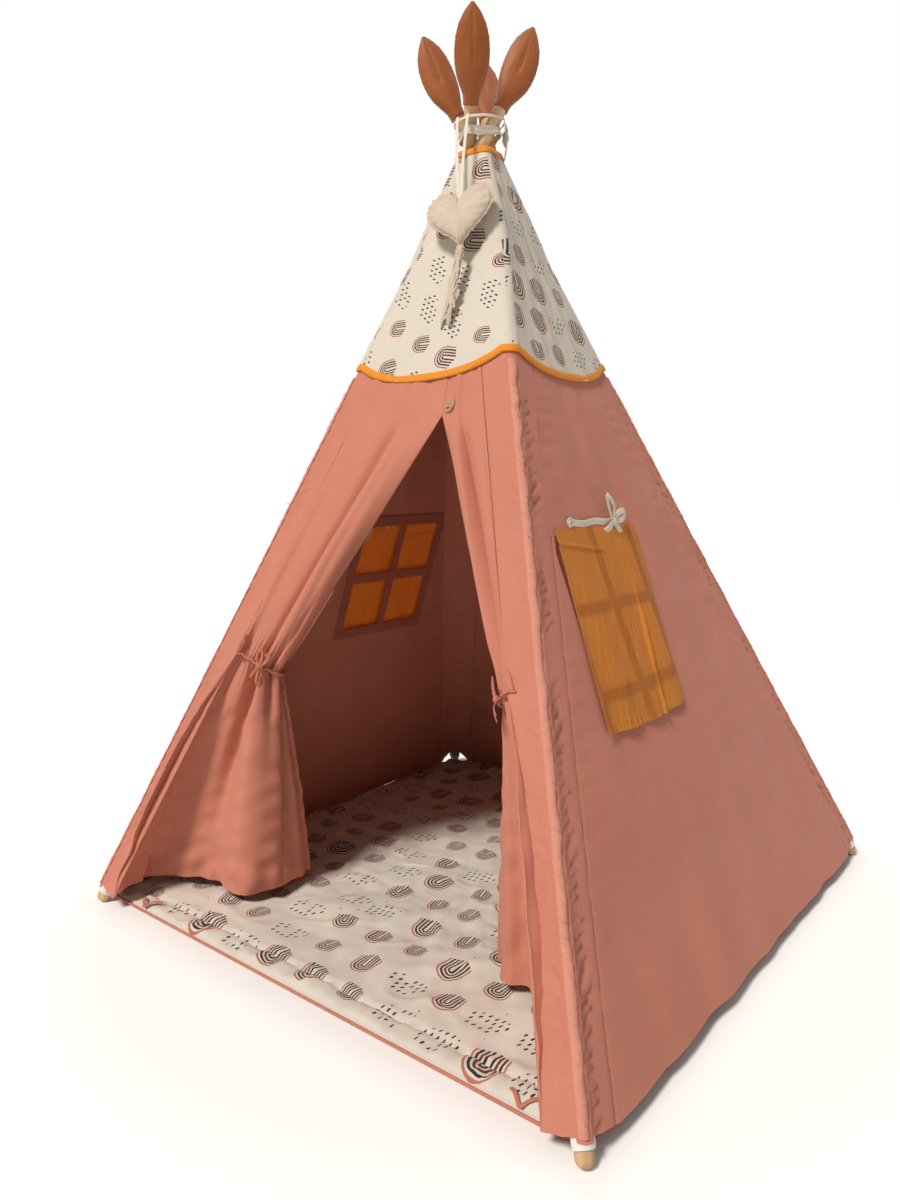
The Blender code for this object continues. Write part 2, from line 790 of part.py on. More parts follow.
def bundle_ring(height, grow, count=28):
    """The outline of the four crossed poles at a height, pitched and folded, grown by a clearance."""
    ellipses = []
    for corner in CORNERS:
        for folded_by in (0, most_fold_degrees):
            turn = Matrix.Rotation(math.radians(folded_by), 4, "Y")
            matrix = pole_matrix(corner) @ turn
            up = matrix.to_3x3() @ Vector((0, 0, 1))
            centre = matrix.translation + up * ((height - crossing_height) / up.z)
            lean_way = Vector((up.x, up.y, 0)).normalized()
            ellipses.append((centre, lean_way, 1 / up.z))
    ring = []
    for i in range(count):
        turn = 2 * math.pi * i / count
        way = Vector((math.cos(turn), math.sin(turn), 0))
        best = None
        for centre, lean_way, stretch in ellipses:
            cross = Vector((-lean_way.y, lean_way.x, 0))
            size = pole_radius + grow
            long, short = size * stretch, size
            a, b = way.dot(lean_way) * long, way.dot(cross) * short
            reach = math.hypot(a, b)
            point = centre + (lean_way * a * long + cross * b * short) / reach
            if best is None or way.dot(point) > best[0]:
                best = (way.dot(point), point)
        ring.append(best[1])
    return ring


def pole_band(name, low, width, thickness, material):
    """A band tied round the crossed poles, which widens with them."""
    bottom, top = crossing_height + low, crossing_height + low + width
    near, far = tie_clearance, tie_clearance + thickness
    rings = [
        bundle_ring(bottom, near),
        bundle_ring(bottom, far),
        bundle_ring(top, far),
        bundle_ring(top, near),
    ]
    points, faces = loft(rings, wrap=True)
    return solid(name, points, faces, material)


def make_crossing_ties():
    """The printed tie that binds the poles, its bow behind, and the pendant's loop above it."""
    pole_band("pole_tie", pole_tie_low, pole_tie_width, cloth, printed)
    pole_band("heart_loop", heart_loop_low, heart_loop_width, thin_cloth, linen)
    radius = pole_tie_width * 0.45
    height = crossing_height + pole_tie_low + pole_tie_width / 2
    ring = bundle_ring(height, tie_clearance + cloth)
    turn = math.radians(pole_tie_bow_degrees)
    way = Vector((math.cos(turn), math.sin(turn), 0))
    along = Vector((-way.y, way.x, 0))
    seat = way * max(p.dot(way) for p in ring) + Vector((0, 0, height))
    out = way * math.cos(lean) - Vector((0, 0, math.sin(lean)))
    bow("pole_tie_bow", seat + out * (touch_gap + seam_gap), along, out, pole_tie_width, radius, printed)


def heart_outline(count):
    """A plump heart one wide and one high, point down, its centre at the origin."""
    line = []
    for i in range(count):
        a = 2 * math.pi * i / count
        x = 16 * math.sin(a) ** 3
        y = 13 * math.cos(a) - 5 * math.cos(2 * a) - 2 * math.cos(3 * a) - math.cos(4 * a)
        line.append((x / 32, (y + 2.5) / 29))
    return line


def make_heart():
    """The pendant: a stuffed heart on two tapes, with a torn cloth tassel, hung from the loop."""
    hinge_height = crossing_height + heart_loop_low + heart_loop_width / 2
    ring = bundle_ring(hinge_height, tie_clearance + thin_cloth, 120)
    under_tapes = [p for p in ring if abs(abs(p.x) - tape_spread / 2) < tape_width / 2]
    front_y = min(p.y for p in under_tapes) - touch_gap - thin_cloth / 2
    hinge = Vector((0, front_y, hinge_height))
    pendant_axis = axis_empty("pendant_hinge", Matrix.Translation(hinge))

    lift = heart_thickness / 2 + heart_width / 2 * math.sin(math.radians(heart_yaw_degrees))
    centre = side_point("front", heart_x, cap_outside + lift + touch_gap, heart_centre_height)
    pose = (
        Matrix.Translation(centre - hinge)
        @ Matrix.Rotation(math.radians(heart_yaw_degrees), 4, "Z")
        @ Matrix.Rotation(-lean, 4, "X")
        @ Matrix.Rotation(-math.radians(heart_tilt_degrees), 4, "Y")
    )
    levels = (-0.999, -0.9, -0.68, -0.4, 0, 0.4, 0.68, 0.9, 0.999)
    rings = []
    for level in levels:
        spread = math.sqrt(1 - level**2) ** 0.8
        ring = []
        for x, y in heart_outline(36):
            ring.append(
                Vector((x * heart_width * spread, -level * heart_thickness / 2, y * heart_height * spread))
            )
        rings.append(ring)
    points, faces = loft(rings)
    heart = solid("heart_pillow", points, faces, linen, pendant_axis, smooth=True)
    heart.matrix_local = pose

    cleft = pose @ Vector((0, 0, heart_height * heart_cleft_share)) + Vector((0, 0, tape_width / 2 + touch_gap))
    path = [
        Vector((-tape_spread / 2, 0, 0)),
        Vector((-tape_spread / 3, 0, 0)).lerp(cleft, 0.5),
        cleft,
        Vector((tape_spread / 3, 0, 0)).lerp(cleft, 0.5),
        Vector((tape_spread / 2, 0, 0)),
    ]
    rings = []
    for i, point in enumerate(path):
        along = (path[min(i + 1, 4)] - path[max(i - 1, 0)]).normalized()
        across = Vector((0, -1, 0)).cross(along).normalized() * tape_width / 2
        out = Vector((0, -thin_cloth / 2, 0))
        rings.append([point - across - out, point + across - out, point + across + out, point - across + out])
    points, faces = loft(rings)
    solid("heart_tapes", points, faces, linen, pendant_axis)

    tip = pose @ Vector((0, 0, -heart_height / 2)) - Vector((0, 0, touch_gap))
    floor_out = cap_outside + tassel_cloth / 2 + touch_gap
    end_height = heart_centre_height - heart_height / 2 - tassel_length
    end = side_point("front", heart_x, floor_out, end_height) - hinge
    rings = []
    for down, wide, sideways in tassel_shares:
        middle = tip.lerp(end, down) + Vector((sideways * tassel_width, 0, -touch_gap))
        ring = []
        for k in range(10):
            turn = 2 * math.pi * k / 10
            x = wide * tassel_width / 2 * math.cos(turn)
            y = tassel_cloth / 2 * math.sin(turn) * (0.4 + 0.6 * wide)
            ring.append(middle + Vector((x, y, 0)))
        rings.append(ring)
    points, faces = loft(rings)
    solid("heart_tassel", points, faces, linen, pendant_axis, smooth=True)


def make_tag():
    """A small blank wooden tag over the door slit, with a hole in its point."""
    off = cloth + cap_play
    hinge = side_point("front", tag_x, off, tag_top_height)
    along = (side_point("front", tag_x + tag_width, off, tag_top_height) - hinge).normalized()
    up = (hinge - side_point("front", tag_x, off, tag_top_height - tag_length)).normalized()
    along = (along - along.dot(up) * up).normalized()
    axes = Matrix((along, up.cross(along), up)).transposed().to_4x4()
    tag_axis = axis_empty("tag_hinge", Matrix.Translation(hinge) @ axes)
    outline, hole = [], []
    count = 24
    for i in range(count):
        a = 2 * math.pi * i / count
        width = tag_width / 2 * math.sin(a) * (1 + 0.12 * math.cos(a))
        outline.append((width, -tag_length / 2 * (1 - math.cos(a))))
        hole.append((tag_hole * math.sin(a), -tag_length * 0.72 + tag_hole * math.cos(a)))
    rings = []
    for line, depth in ((outline, 0), (outline, -tag_thickness), (hole, -tag_thickness), (hole, 0)):
        rings.append([Vector((x, depth, z)) for x, z in line])
    points, faces = loft(rings, wrap=True)
    solid("door_tag", points, faces, plywood, tag_axis)


def rounded_square(half, corner, height, parts=4):
    ring = []
    for k in range(4):
        for j in range(parts + 1):
            turn = math.pi / 2 * (k + j / parts)
            centre = Vector((half - corner, half - corner, 0))
            centre = Matrix.Rotation(math.pi / 2 * k, 3, "Z") @ centre
            ring.append(centre + Vector((corner * math.cos(turn), corner * math.sin(turn), height)))
    return ring


def make_mat():
    """The quilted mat: a flat base, a crowned top with one sewn channel, piping and corner ties."""
    profile = (
        (mat_thickness / 4, 0),
        (0, mat_thickness / 3),
        (mat_thickness / 6, mat_thickness * 0.7),
        (mat_channel / 3, mat_thickness * mat_ridge_share),
        (mat_channel, mat_thickness * 0.62),
        (mat_channel * 1.4, mat_thickness * 0.9),
        (mat_channel * 2.5, mat_thickness),
    )
    rings = [rounded_square(mat_half - inset, mat_corner, height) for inset, height in profile]
    points, faces = loft(rings)
    solid("mat", points, faces, printed, smooth=True)

    sides = 6
    path = rounded_square(mat_half + mat_piping + touch_gap, mat_corner + mat_piping, mat_thickness / 3)
    rings = []
    for i, point in enumerate(path):
        along = (path[(i + 1) % len(path)] - path[i - 1]).normalized()
        across = along.cross(Vector((0, 0, 1)))
        ring = []
        for k in range(sides):
            turn = 2 * math.pi * k / sides
            ring.append(point + (across * math.cos(turn) + Vector((0, 0, math.sin(turn)))) * mat_piping)
        rings.append(ring)
    points, faces = loft(rings, wrap=True)
    solid("mat_piping", points, faces, terracotta, smooth=True)

    for corner, (sx, sy) in CORNERS.items():
        height = mat_thickness * mat_ridge_share
        centre = Vector((sx * (mat_half - mat_tie_from_corner), sy * (mat_half - mat_channel / 3), height))
        along, up = Vector((1, 0, 0)), Vector((0, 0, 1))
        bow(f"mat_tie_{corner}", centre, along, up, mat_tie_length / 2, mat_tie_radius, terracotta)


make_poles()
make_walls()
make_front()
make_cap()
make_door()
make_windows()
make_crossing_ties()
make_heart()
make_tag()
make_mat()
bpy.context.view_layer.update()
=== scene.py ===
# %% [markdown]
# # A child's play teepee in cotton, print and pine
#
# The object is a cloth cover over four crossed dowels, with a door tied back at both sides, two
# curtained windows, a printed cap, stuffed leaves on the pole ends, a heart pendant and a padded mat.
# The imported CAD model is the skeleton. It says where everything is and how it moves, and this lesson
# dresses it: each cell makes one kind of cloth, cord or wood over the solids that hold its place.

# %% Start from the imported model
import json
import math

import bmesh
import bpy
import numpy as np
from mathutils import Matrix, Vector
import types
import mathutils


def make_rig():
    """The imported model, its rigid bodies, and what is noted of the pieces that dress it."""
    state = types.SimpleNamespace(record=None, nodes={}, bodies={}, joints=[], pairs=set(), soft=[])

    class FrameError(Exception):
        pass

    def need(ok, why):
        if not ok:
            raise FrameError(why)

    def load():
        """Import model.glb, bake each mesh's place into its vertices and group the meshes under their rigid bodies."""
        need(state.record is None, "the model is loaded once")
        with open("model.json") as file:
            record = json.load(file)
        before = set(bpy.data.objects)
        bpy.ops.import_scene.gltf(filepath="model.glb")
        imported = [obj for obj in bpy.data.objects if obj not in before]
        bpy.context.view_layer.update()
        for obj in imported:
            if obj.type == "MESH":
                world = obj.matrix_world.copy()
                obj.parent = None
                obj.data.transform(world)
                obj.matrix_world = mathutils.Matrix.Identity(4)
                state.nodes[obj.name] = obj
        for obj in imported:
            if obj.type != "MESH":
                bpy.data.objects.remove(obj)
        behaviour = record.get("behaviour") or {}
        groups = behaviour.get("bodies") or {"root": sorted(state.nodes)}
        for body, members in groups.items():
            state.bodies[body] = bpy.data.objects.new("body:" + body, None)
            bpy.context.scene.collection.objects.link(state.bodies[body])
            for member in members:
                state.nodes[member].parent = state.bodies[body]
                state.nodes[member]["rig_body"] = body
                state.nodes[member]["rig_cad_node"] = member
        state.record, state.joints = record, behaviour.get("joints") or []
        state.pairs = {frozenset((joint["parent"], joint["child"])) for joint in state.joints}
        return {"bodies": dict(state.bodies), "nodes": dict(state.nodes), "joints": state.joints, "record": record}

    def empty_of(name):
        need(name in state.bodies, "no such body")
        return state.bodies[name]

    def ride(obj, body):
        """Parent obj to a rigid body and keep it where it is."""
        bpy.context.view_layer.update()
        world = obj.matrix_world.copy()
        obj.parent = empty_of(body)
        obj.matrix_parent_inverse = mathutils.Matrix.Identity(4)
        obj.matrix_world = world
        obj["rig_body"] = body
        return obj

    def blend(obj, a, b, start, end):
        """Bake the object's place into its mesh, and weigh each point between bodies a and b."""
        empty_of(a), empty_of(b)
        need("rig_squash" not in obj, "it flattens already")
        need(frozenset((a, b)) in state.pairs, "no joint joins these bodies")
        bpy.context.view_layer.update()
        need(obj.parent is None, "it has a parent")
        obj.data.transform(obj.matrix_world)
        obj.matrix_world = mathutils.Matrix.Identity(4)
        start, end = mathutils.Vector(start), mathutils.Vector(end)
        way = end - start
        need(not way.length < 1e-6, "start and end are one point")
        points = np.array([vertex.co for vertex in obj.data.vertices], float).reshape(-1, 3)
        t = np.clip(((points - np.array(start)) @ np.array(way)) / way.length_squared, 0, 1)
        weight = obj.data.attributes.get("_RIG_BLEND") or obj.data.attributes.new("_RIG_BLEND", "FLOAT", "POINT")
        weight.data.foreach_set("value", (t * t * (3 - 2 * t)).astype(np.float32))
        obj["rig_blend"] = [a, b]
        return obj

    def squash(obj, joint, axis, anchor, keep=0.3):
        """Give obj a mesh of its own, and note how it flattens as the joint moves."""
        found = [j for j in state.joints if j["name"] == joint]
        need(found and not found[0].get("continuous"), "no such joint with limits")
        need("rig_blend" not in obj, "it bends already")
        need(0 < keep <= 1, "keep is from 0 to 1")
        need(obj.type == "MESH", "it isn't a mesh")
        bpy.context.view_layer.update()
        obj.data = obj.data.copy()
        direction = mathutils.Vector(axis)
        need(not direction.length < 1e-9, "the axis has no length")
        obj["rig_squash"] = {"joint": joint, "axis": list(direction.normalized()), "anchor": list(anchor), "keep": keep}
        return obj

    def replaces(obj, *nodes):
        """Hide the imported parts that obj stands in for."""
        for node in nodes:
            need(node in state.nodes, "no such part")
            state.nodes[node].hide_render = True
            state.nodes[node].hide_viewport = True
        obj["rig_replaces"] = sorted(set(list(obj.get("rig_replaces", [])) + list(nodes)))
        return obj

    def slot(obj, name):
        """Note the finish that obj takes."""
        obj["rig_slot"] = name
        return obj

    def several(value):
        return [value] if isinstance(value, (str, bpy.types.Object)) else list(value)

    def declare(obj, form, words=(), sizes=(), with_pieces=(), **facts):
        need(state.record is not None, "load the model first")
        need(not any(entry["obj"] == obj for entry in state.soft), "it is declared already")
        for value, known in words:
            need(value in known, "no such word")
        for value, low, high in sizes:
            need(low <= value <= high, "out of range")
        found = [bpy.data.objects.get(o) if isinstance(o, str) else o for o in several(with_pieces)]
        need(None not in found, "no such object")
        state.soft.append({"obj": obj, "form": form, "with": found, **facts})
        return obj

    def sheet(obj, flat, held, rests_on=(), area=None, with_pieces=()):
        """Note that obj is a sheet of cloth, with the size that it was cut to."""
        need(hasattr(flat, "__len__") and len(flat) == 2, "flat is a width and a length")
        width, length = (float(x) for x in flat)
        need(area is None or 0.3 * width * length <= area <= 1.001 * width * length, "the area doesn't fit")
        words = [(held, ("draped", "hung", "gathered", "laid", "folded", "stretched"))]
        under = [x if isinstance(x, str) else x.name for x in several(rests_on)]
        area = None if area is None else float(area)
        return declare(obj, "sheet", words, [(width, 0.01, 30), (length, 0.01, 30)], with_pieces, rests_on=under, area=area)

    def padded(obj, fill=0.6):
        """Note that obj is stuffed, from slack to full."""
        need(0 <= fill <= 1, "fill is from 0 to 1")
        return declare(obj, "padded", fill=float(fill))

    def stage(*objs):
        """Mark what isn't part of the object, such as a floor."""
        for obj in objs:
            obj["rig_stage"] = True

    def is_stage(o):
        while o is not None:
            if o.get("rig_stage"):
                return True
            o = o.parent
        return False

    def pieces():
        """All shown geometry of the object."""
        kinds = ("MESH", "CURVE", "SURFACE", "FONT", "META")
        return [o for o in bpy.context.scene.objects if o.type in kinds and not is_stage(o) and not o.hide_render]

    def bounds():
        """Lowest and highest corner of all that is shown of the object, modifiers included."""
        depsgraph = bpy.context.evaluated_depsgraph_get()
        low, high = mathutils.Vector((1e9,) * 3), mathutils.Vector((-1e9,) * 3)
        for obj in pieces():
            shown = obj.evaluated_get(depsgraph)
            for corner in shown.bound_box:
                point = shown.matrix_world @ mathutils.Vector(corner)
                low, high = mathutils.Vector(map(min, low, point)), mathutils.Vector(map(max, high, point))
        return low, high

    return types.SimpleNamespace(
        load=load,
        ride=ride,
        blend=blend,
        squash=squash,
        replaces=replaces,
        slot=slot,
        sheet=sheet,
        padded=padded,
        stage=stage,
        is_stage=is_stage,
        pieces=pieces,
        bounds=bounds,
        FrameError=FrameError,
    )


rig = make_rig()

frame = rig.load()
nodes = frame["nodes"]
joints = {joint["name"]: joint for joint in frame["joints"]}
cad_low, cad_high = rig.bounds()
print(f"{len(nodes)} CAD nodes, {len(joints)} joints, {cad_high.z:.3f} m tall")

# %% [markdown]
# ## The camera
#
# The camera stands where the photographer stood, low and to the right of the door. A pinhole camera
# was fitted to the four feet, the crossing and the hems, so the focal length is known in pixels.
# Blender wants it in millimetres on a 36 mm sensor, which lies along the frame's longer side.

# %% Place the camera
photo_height_pixels = 1200
focal_pixels = 860
azimuth, elevation, roll = (math.radians(a) for a in (39.82, 7.17, -1.249))
camera_target = Vector((-0.0561, -0.0468, 0.5748))
camera_distance = 1.6953

back = Vector((math.sin(azimuth) * math.cos(elevation), -math.cos(azimuth) * math.cos(elevation), 0))
back.z = math.sin(elevation)
level = (-back).cross(Vector((0, 0, 1))).normalized()
upright = level.cross(-back)
right_hand = level * math.cos(roll) + upright * math.sin(roll)
overhead = upright * math.cos(roll) - level * math.sin(roll)
lens = bpy.data.cameras.new("photo_camera")
lens.sensor_width = 36
lens.lens = focal_pixels / photo_height_pixels * lens.sensor_width
lens.clip_start = 0.01
camera = bpy.data.objects.new("photo_camera", lens)
camera.matrix_world = Matrix((right_hand, overhead, back)).transposed().to_4x4()
camera.location = camera_target + back * camera_distance
bpy.context.scene.collection.objects.link(camera)
bpy.context.scene.camera = camera
bpy.context.scene.view_settings.view_transform = "Standard"
print("camera at", [round(v, 3) for v in camera.location], "lens", round(lens.lens, 2))

# %% [markdown]
# ## Light, floor and background
#
# The room is bright and soft, with one low window behind the photographer. A broad sun from the front
# gives the folds their light side, and an even pale world fills the shade. Together they add up to
# about one, so a colour renders about as it is written. Only the camera, and what mirrors it, sees
# the world as white.


# %% Colours and the one node helper
def linear(hex_colour):
    """An sRGB hex colour as the linear RGBA that Blender's sockets hold."""
    levels = [int(hex_colour[i : i + 2], 16) / 255 for i in (0, 2, 4)]
    return (*[c / 12.92 if c <= 0.04045 else ((c + 0.055) / 1.055) ** 2.4 for c in levels], 1)


def add(tree, kind, inputs=(), **settings):
    """Adds a node to a tree, with settings and with inputs that are values or other sockets."""
    node = tree.nodes.new(kind)
    for name, value in settings.items():
        setattr(node, name, value)
    pairs = inputs.items() if isinstance(inputs, dict) else enumerate(inputs)
    for key, value in pairs:
        if value is None:
            continue
        if isinstance(value, bpy.types.Node):
            value = value.outputs[0]
        if isinstance(value, bpy.types.NodeSocket):
            tree.links.new(value, node.inputs[key])
        else:
            node.inputs[key].default_value = value
    return node


def mapped(tree, value, *levels):
    """A value moved from one range to another: from low, from high, to low, to high."""
    return add(tree, "ShaderNodeMapRange", {"Value": value, **dict(enumerate(levels, 1))})


def mixed(tree, share, low, high):
    """Two colours mixed by a share. Each is a hex text or a socket."""
    low, high = (linear(c) if isinstance(c, str) else c for c in (low, high))
    return add(tree, "ShaderNodeMix", {"Factor": share, 6: low, 7: high}, data_type="RGBA").outputs[2]


def painted(name, **levels):
    """A new material with its node tree and its shader, whose inputs get these levels."""
    material = bpy.data.materials.new(name)
    material.use_nodes = True
    shader = material.node_tree.nodes["Principled BSDF"]
    for socket, level in levels.items():
        shader.inputs[socket.replace("_", " ")].default_value = level
    return material, material.node_tree, shader


# %% Build the stage
world = bpy.data.worlds.new("soft_room")
bpy.context.scene.world = world
world.use_nodes = True
tree = world.node_tree
tree.nodes.clear()
path = add(tree, "ShaderNodeLightPath").outputs
seen = add(tree, "ShaderNodeMath", [path["Is Camera Ray"], path["Is Glossy Ray"]], operation="MAXIMUM")
fill = add(tree, "ShaderNodeBackground", [linear("F4F1EE"), 0.24])
white = add(tree, "ShaderNodeBackground", [linear("FFFFFF"), 1.0])
shown = add(tree, "ShaderNodeMixShader", [seen, fill, white])
add(tree, "ShaderNodeOutputWorld", [shown])

key = bpy.data.lights.new("window_light", "SUN")
key.energy = 2.85
key.angle = math.radians(14)
key.color = linear("FFFAF4")[:3]
key_light = bpy.data.objects.new("window_light", key)
key_from = Vector((0.0, -1.0, 1.22))
key_light.rotation_euler = key_from.to_track_quat("Z", "Y").to_euler()
bpy.context.scene.collection.objects.link(key_light)

floor_reach, floor_level = 30, -0.0005
floor_mesh = bpy.data.meshes.new("studio_floor")
corners = [(-floor_reach, -floor_reach), (floor_reach, -floor_reach)]
corners += [(floor_reach, floor_reach), (-floor_reach, floor_reach)]
floor_mesh.from_pydata([(x, y, floor_level) for x, y in corners], [], [(0, 1, 2, 3)])
floor = bpy.data.objects.new("studio_floor", floor_mesh)
bpy.context.scene.collection.objects.link(floor)
floor_paint, tree, floor_shader = painted(
    "matt_white_floor",
    Base_Color=linear("FAF9F7"),
    Roughness=0.9,
    Specular_IOR_Level=0.1,
    Emission_Color=linear("FFFFFF"),
)
# The camera sees the floor lifted to white, not at all under the object and wholly far from it, so
# that the object's shadow stays and the floor ends in the background without a horizon.
spot = add(tree, "ShaderNodeTexCoord").outputs["Object"]
away = add(tree, "ShaderNodeVectorMath", [spot], operation="LENGTH").outputs["Value"]
lifted = mapped(tree, away, 0.75, 2.2, 0.16, 1.0)
across = add(tree, "ShaderNodeVectorMath", [spot], operation="ABSOLUTE")
across = add(tree, "ShaderNodeSeparateXYZ", [across])
across = add(tree, "ShaderNodeMath", [across.outputs[0], across.outputs[1]], operation="MAXIMUM")
looking = add(tree, "ShaderNodeLightPath").outputs["Is Camera Ray"]
for factor in (mapped(tree, across, 0.53, 0.60), looking):
    lifted = add(tree, "ShaderNodeMath", [lifted, factor], operation="MULTIPLY")
tree.links.new(lifted.outputs[0], floor_shader.inputs["Emission Strength"])
floor_mesh.materials.append(floor_paint)
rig.stage(floor)
print("stage ready")

# %% [markdown]
# ## Woven cotton
#
# The cover is a plain-weave cotton, garment-dyed in dusty terracotta. Its threads are about 0.8 mm
# apart, which is finer than a pixel here, so the weave is drawn three times as coarse. What the eye
# does catch is slub, where thicker yarns show as faint streaks both ways, a mottled dye, and a soft
# sheen at grazing angles. Every cloth piece carries a UV map in real metres, so one set of scales
# works everywhere. A second map holds the distance to the nearest stitch line.


# %% Cloth material
def cotton(
    name,
    colour,
    shade,
    weave_mm=2.4,
    streak=0.10,
    sheen=0.12,
    roughness=0.88,
    stitched=None,
    see_through=0.0,
    barred=None,
):
    """Plain-weave cloth: slub streaks both ways, mottled dye, weave bump, stitch lines and, where asked, painted shade
    over window bars behind it.
    """
    material, tree, shader = painted(
        name,
        Roughness=roughness,
        Specular_IOR_Level=0.25,
        Sheen_Weight=sheen,
        Sheen_Roughness=0.45,
    )
    if see_through:
        for socket, level in (("Weight", see_through), ("Radius", (0.006, 0.003, 0.0015)), ("Scale", 1.0)):
            shader.inputs[f"Subsurface {socket}"].default_value = level
    metres = add(tree, "ShaderNodeUVMap", uv_map="metres")
    thread = 1000 / weave_mm
    slub_length = 26
    streaks = []
    for warp, weft in ((thread, thread / slub_length), (thread / slub_length, thread)):
        stretched = add(tree, "ShaderNodeMapping", {"Vector": metres, "Scale": (warp, weft, 1)})
        streaks.append(add(tree, "ShaderNodeTexNoise", {"Vector": stretched, "Scale": 1.0, "Detail": 2.0}))
    both = add(tree, "ShaderNodeMath", streaks, operation="ADD")
    dye = add(tree, "ShaderNodeTexNoise", {"Vector": metres, "Scale": 9.0, "Detail": 3.0})
    slub, patch = mapped(tree, both, 0.7, 1.3, -streak, streak), mapped(tree, dye, 0.3, 0.7, -0.13, 0.13)
    tone = add(tree, "ShaderNodeMath", [slub, patch], operation="ADD")
    tone = add(tree, "ShaderNodeMath", [tone, 0.5], operation="ADD", use_clamp=True)
    result = mixed(tree, tone, shade, colour)
    if stitched or barred:
        sewn = add(tree, "ShaderNodeSeparateXYZ", [add(tree, "ShaderNodeUVMap", uv_map="stitches")])
    if stitched:
        half_line, pitch, shown_share, strength = 0.0009, 0.0042, 0.72, 0.75
        line = add(tree, "ShaderNodeMath", [sewn.outputs[0], half_line], operation="LESS_THAN")
        along = add(tree, "ShaderNodeMath", [sewn.outputs[1], 1 / pitch], operation="MULTIPLY")
        along = add(tree, "ShaderNodeMath", [along], operation="FRACT")
        along = add(tree, "ShaderNodeMath", [along, shown_share], operation="LESS_THAN")
        for factor in (along, strength):
            line = add(tree, "ShaderNodeMath", [line, factor], operation="MULTIPLY")
        result = mixed(tree, line, result, stitched)
    # Painted shade: the thin muslin is darkened where a window bar behind it blocks the light.
    if barred:
        result = mixed(tree, mapped(tree, sewn.outputs[0], 0.006, 0.013, 0.52, 0.0), result, barred)
    tree.links.new(result, shader.inputs["Base Color"])
    bump = add(tree, "ShaderNodeBump", {"Height": both, "Strength": 0.35, "Distance": 0.0006})
    tree.links.new(bump.outputs[0], shader.inputs["Normal"])
    return material


terracotta = cotton("garment_dyed_cotton", "D08974", "BF7560", stitched="7C3A2C")
terracotta_plain = cotton("garment_dyed_cotton_plain", "D08974", "BF7560")
# Painted shade: the window frames are the same cotton as the walls, drawn in a darker copy of it.
frame_cloth = cotton("garment_dyed_cotton_frame", "B86F5B", "A35F4C")
# Painted light: the corner seams are the same cotton, drawn in a lighter copy for the light on the poles' rounded
# fronts.
seam_cloth = cotton("garment_dyed_cotton_seam", "DB9A86", "CB826D", weave_mm=1.8)
lining = cotton("garment_dyed_cotton_ties", "CC8570", "B87059", weave_mm=1.8)
binding_cloth = cotton("orange_bias_binding", "EE9A30", "DD8420", weave_mm=1.6, streak=0.05)
# The muslin's darker colour over the window bars is painted shade.
muslin = cotton(
    "crinkled_orange_muslin", "D98736", "C27026", 1.8, 0.16, 0.05, see_through=0.4, barred="9A5020"
)
leaf_cloth = cotton("rust_leaf_sateen", "AC622C", "8C491E", 2.0, 0.16, sheen=0.4, roughness=0.5)
linen = cotton("natural_raw_linen", "DCCDBA", "C5B39C", weave_mm=2.2, streak=0.32, sheen=0.15)
twill_tape = cotton("cream_twill_tape", "EFE8DC", "DDD3C4", weave_mm=1.5, streak=0.12)
webbing = cotton("white_cotton_webbing", "F0EEEA", "DDD9D2", weave_mm=1.8, streak=0.1)
print("cloth materials:", sum(m.name.count("_") > 0 for m in bpy.data.materials))

# %% [markdown]
# ## The printed cotton
#
# The cap, the tie at the crossing and the mat share one cream cloth with a small screen print of
# plain arches, clusters of short dashes and lone specks. A print like this is drawn in the shader:
# space is cut into cells, a random number per cell picks the kind and size of motif, and the
# distance from the motif's centre line picks the ink. The rows are staggered, and a little noise
# moves every edge so that it looks brushed by hand.


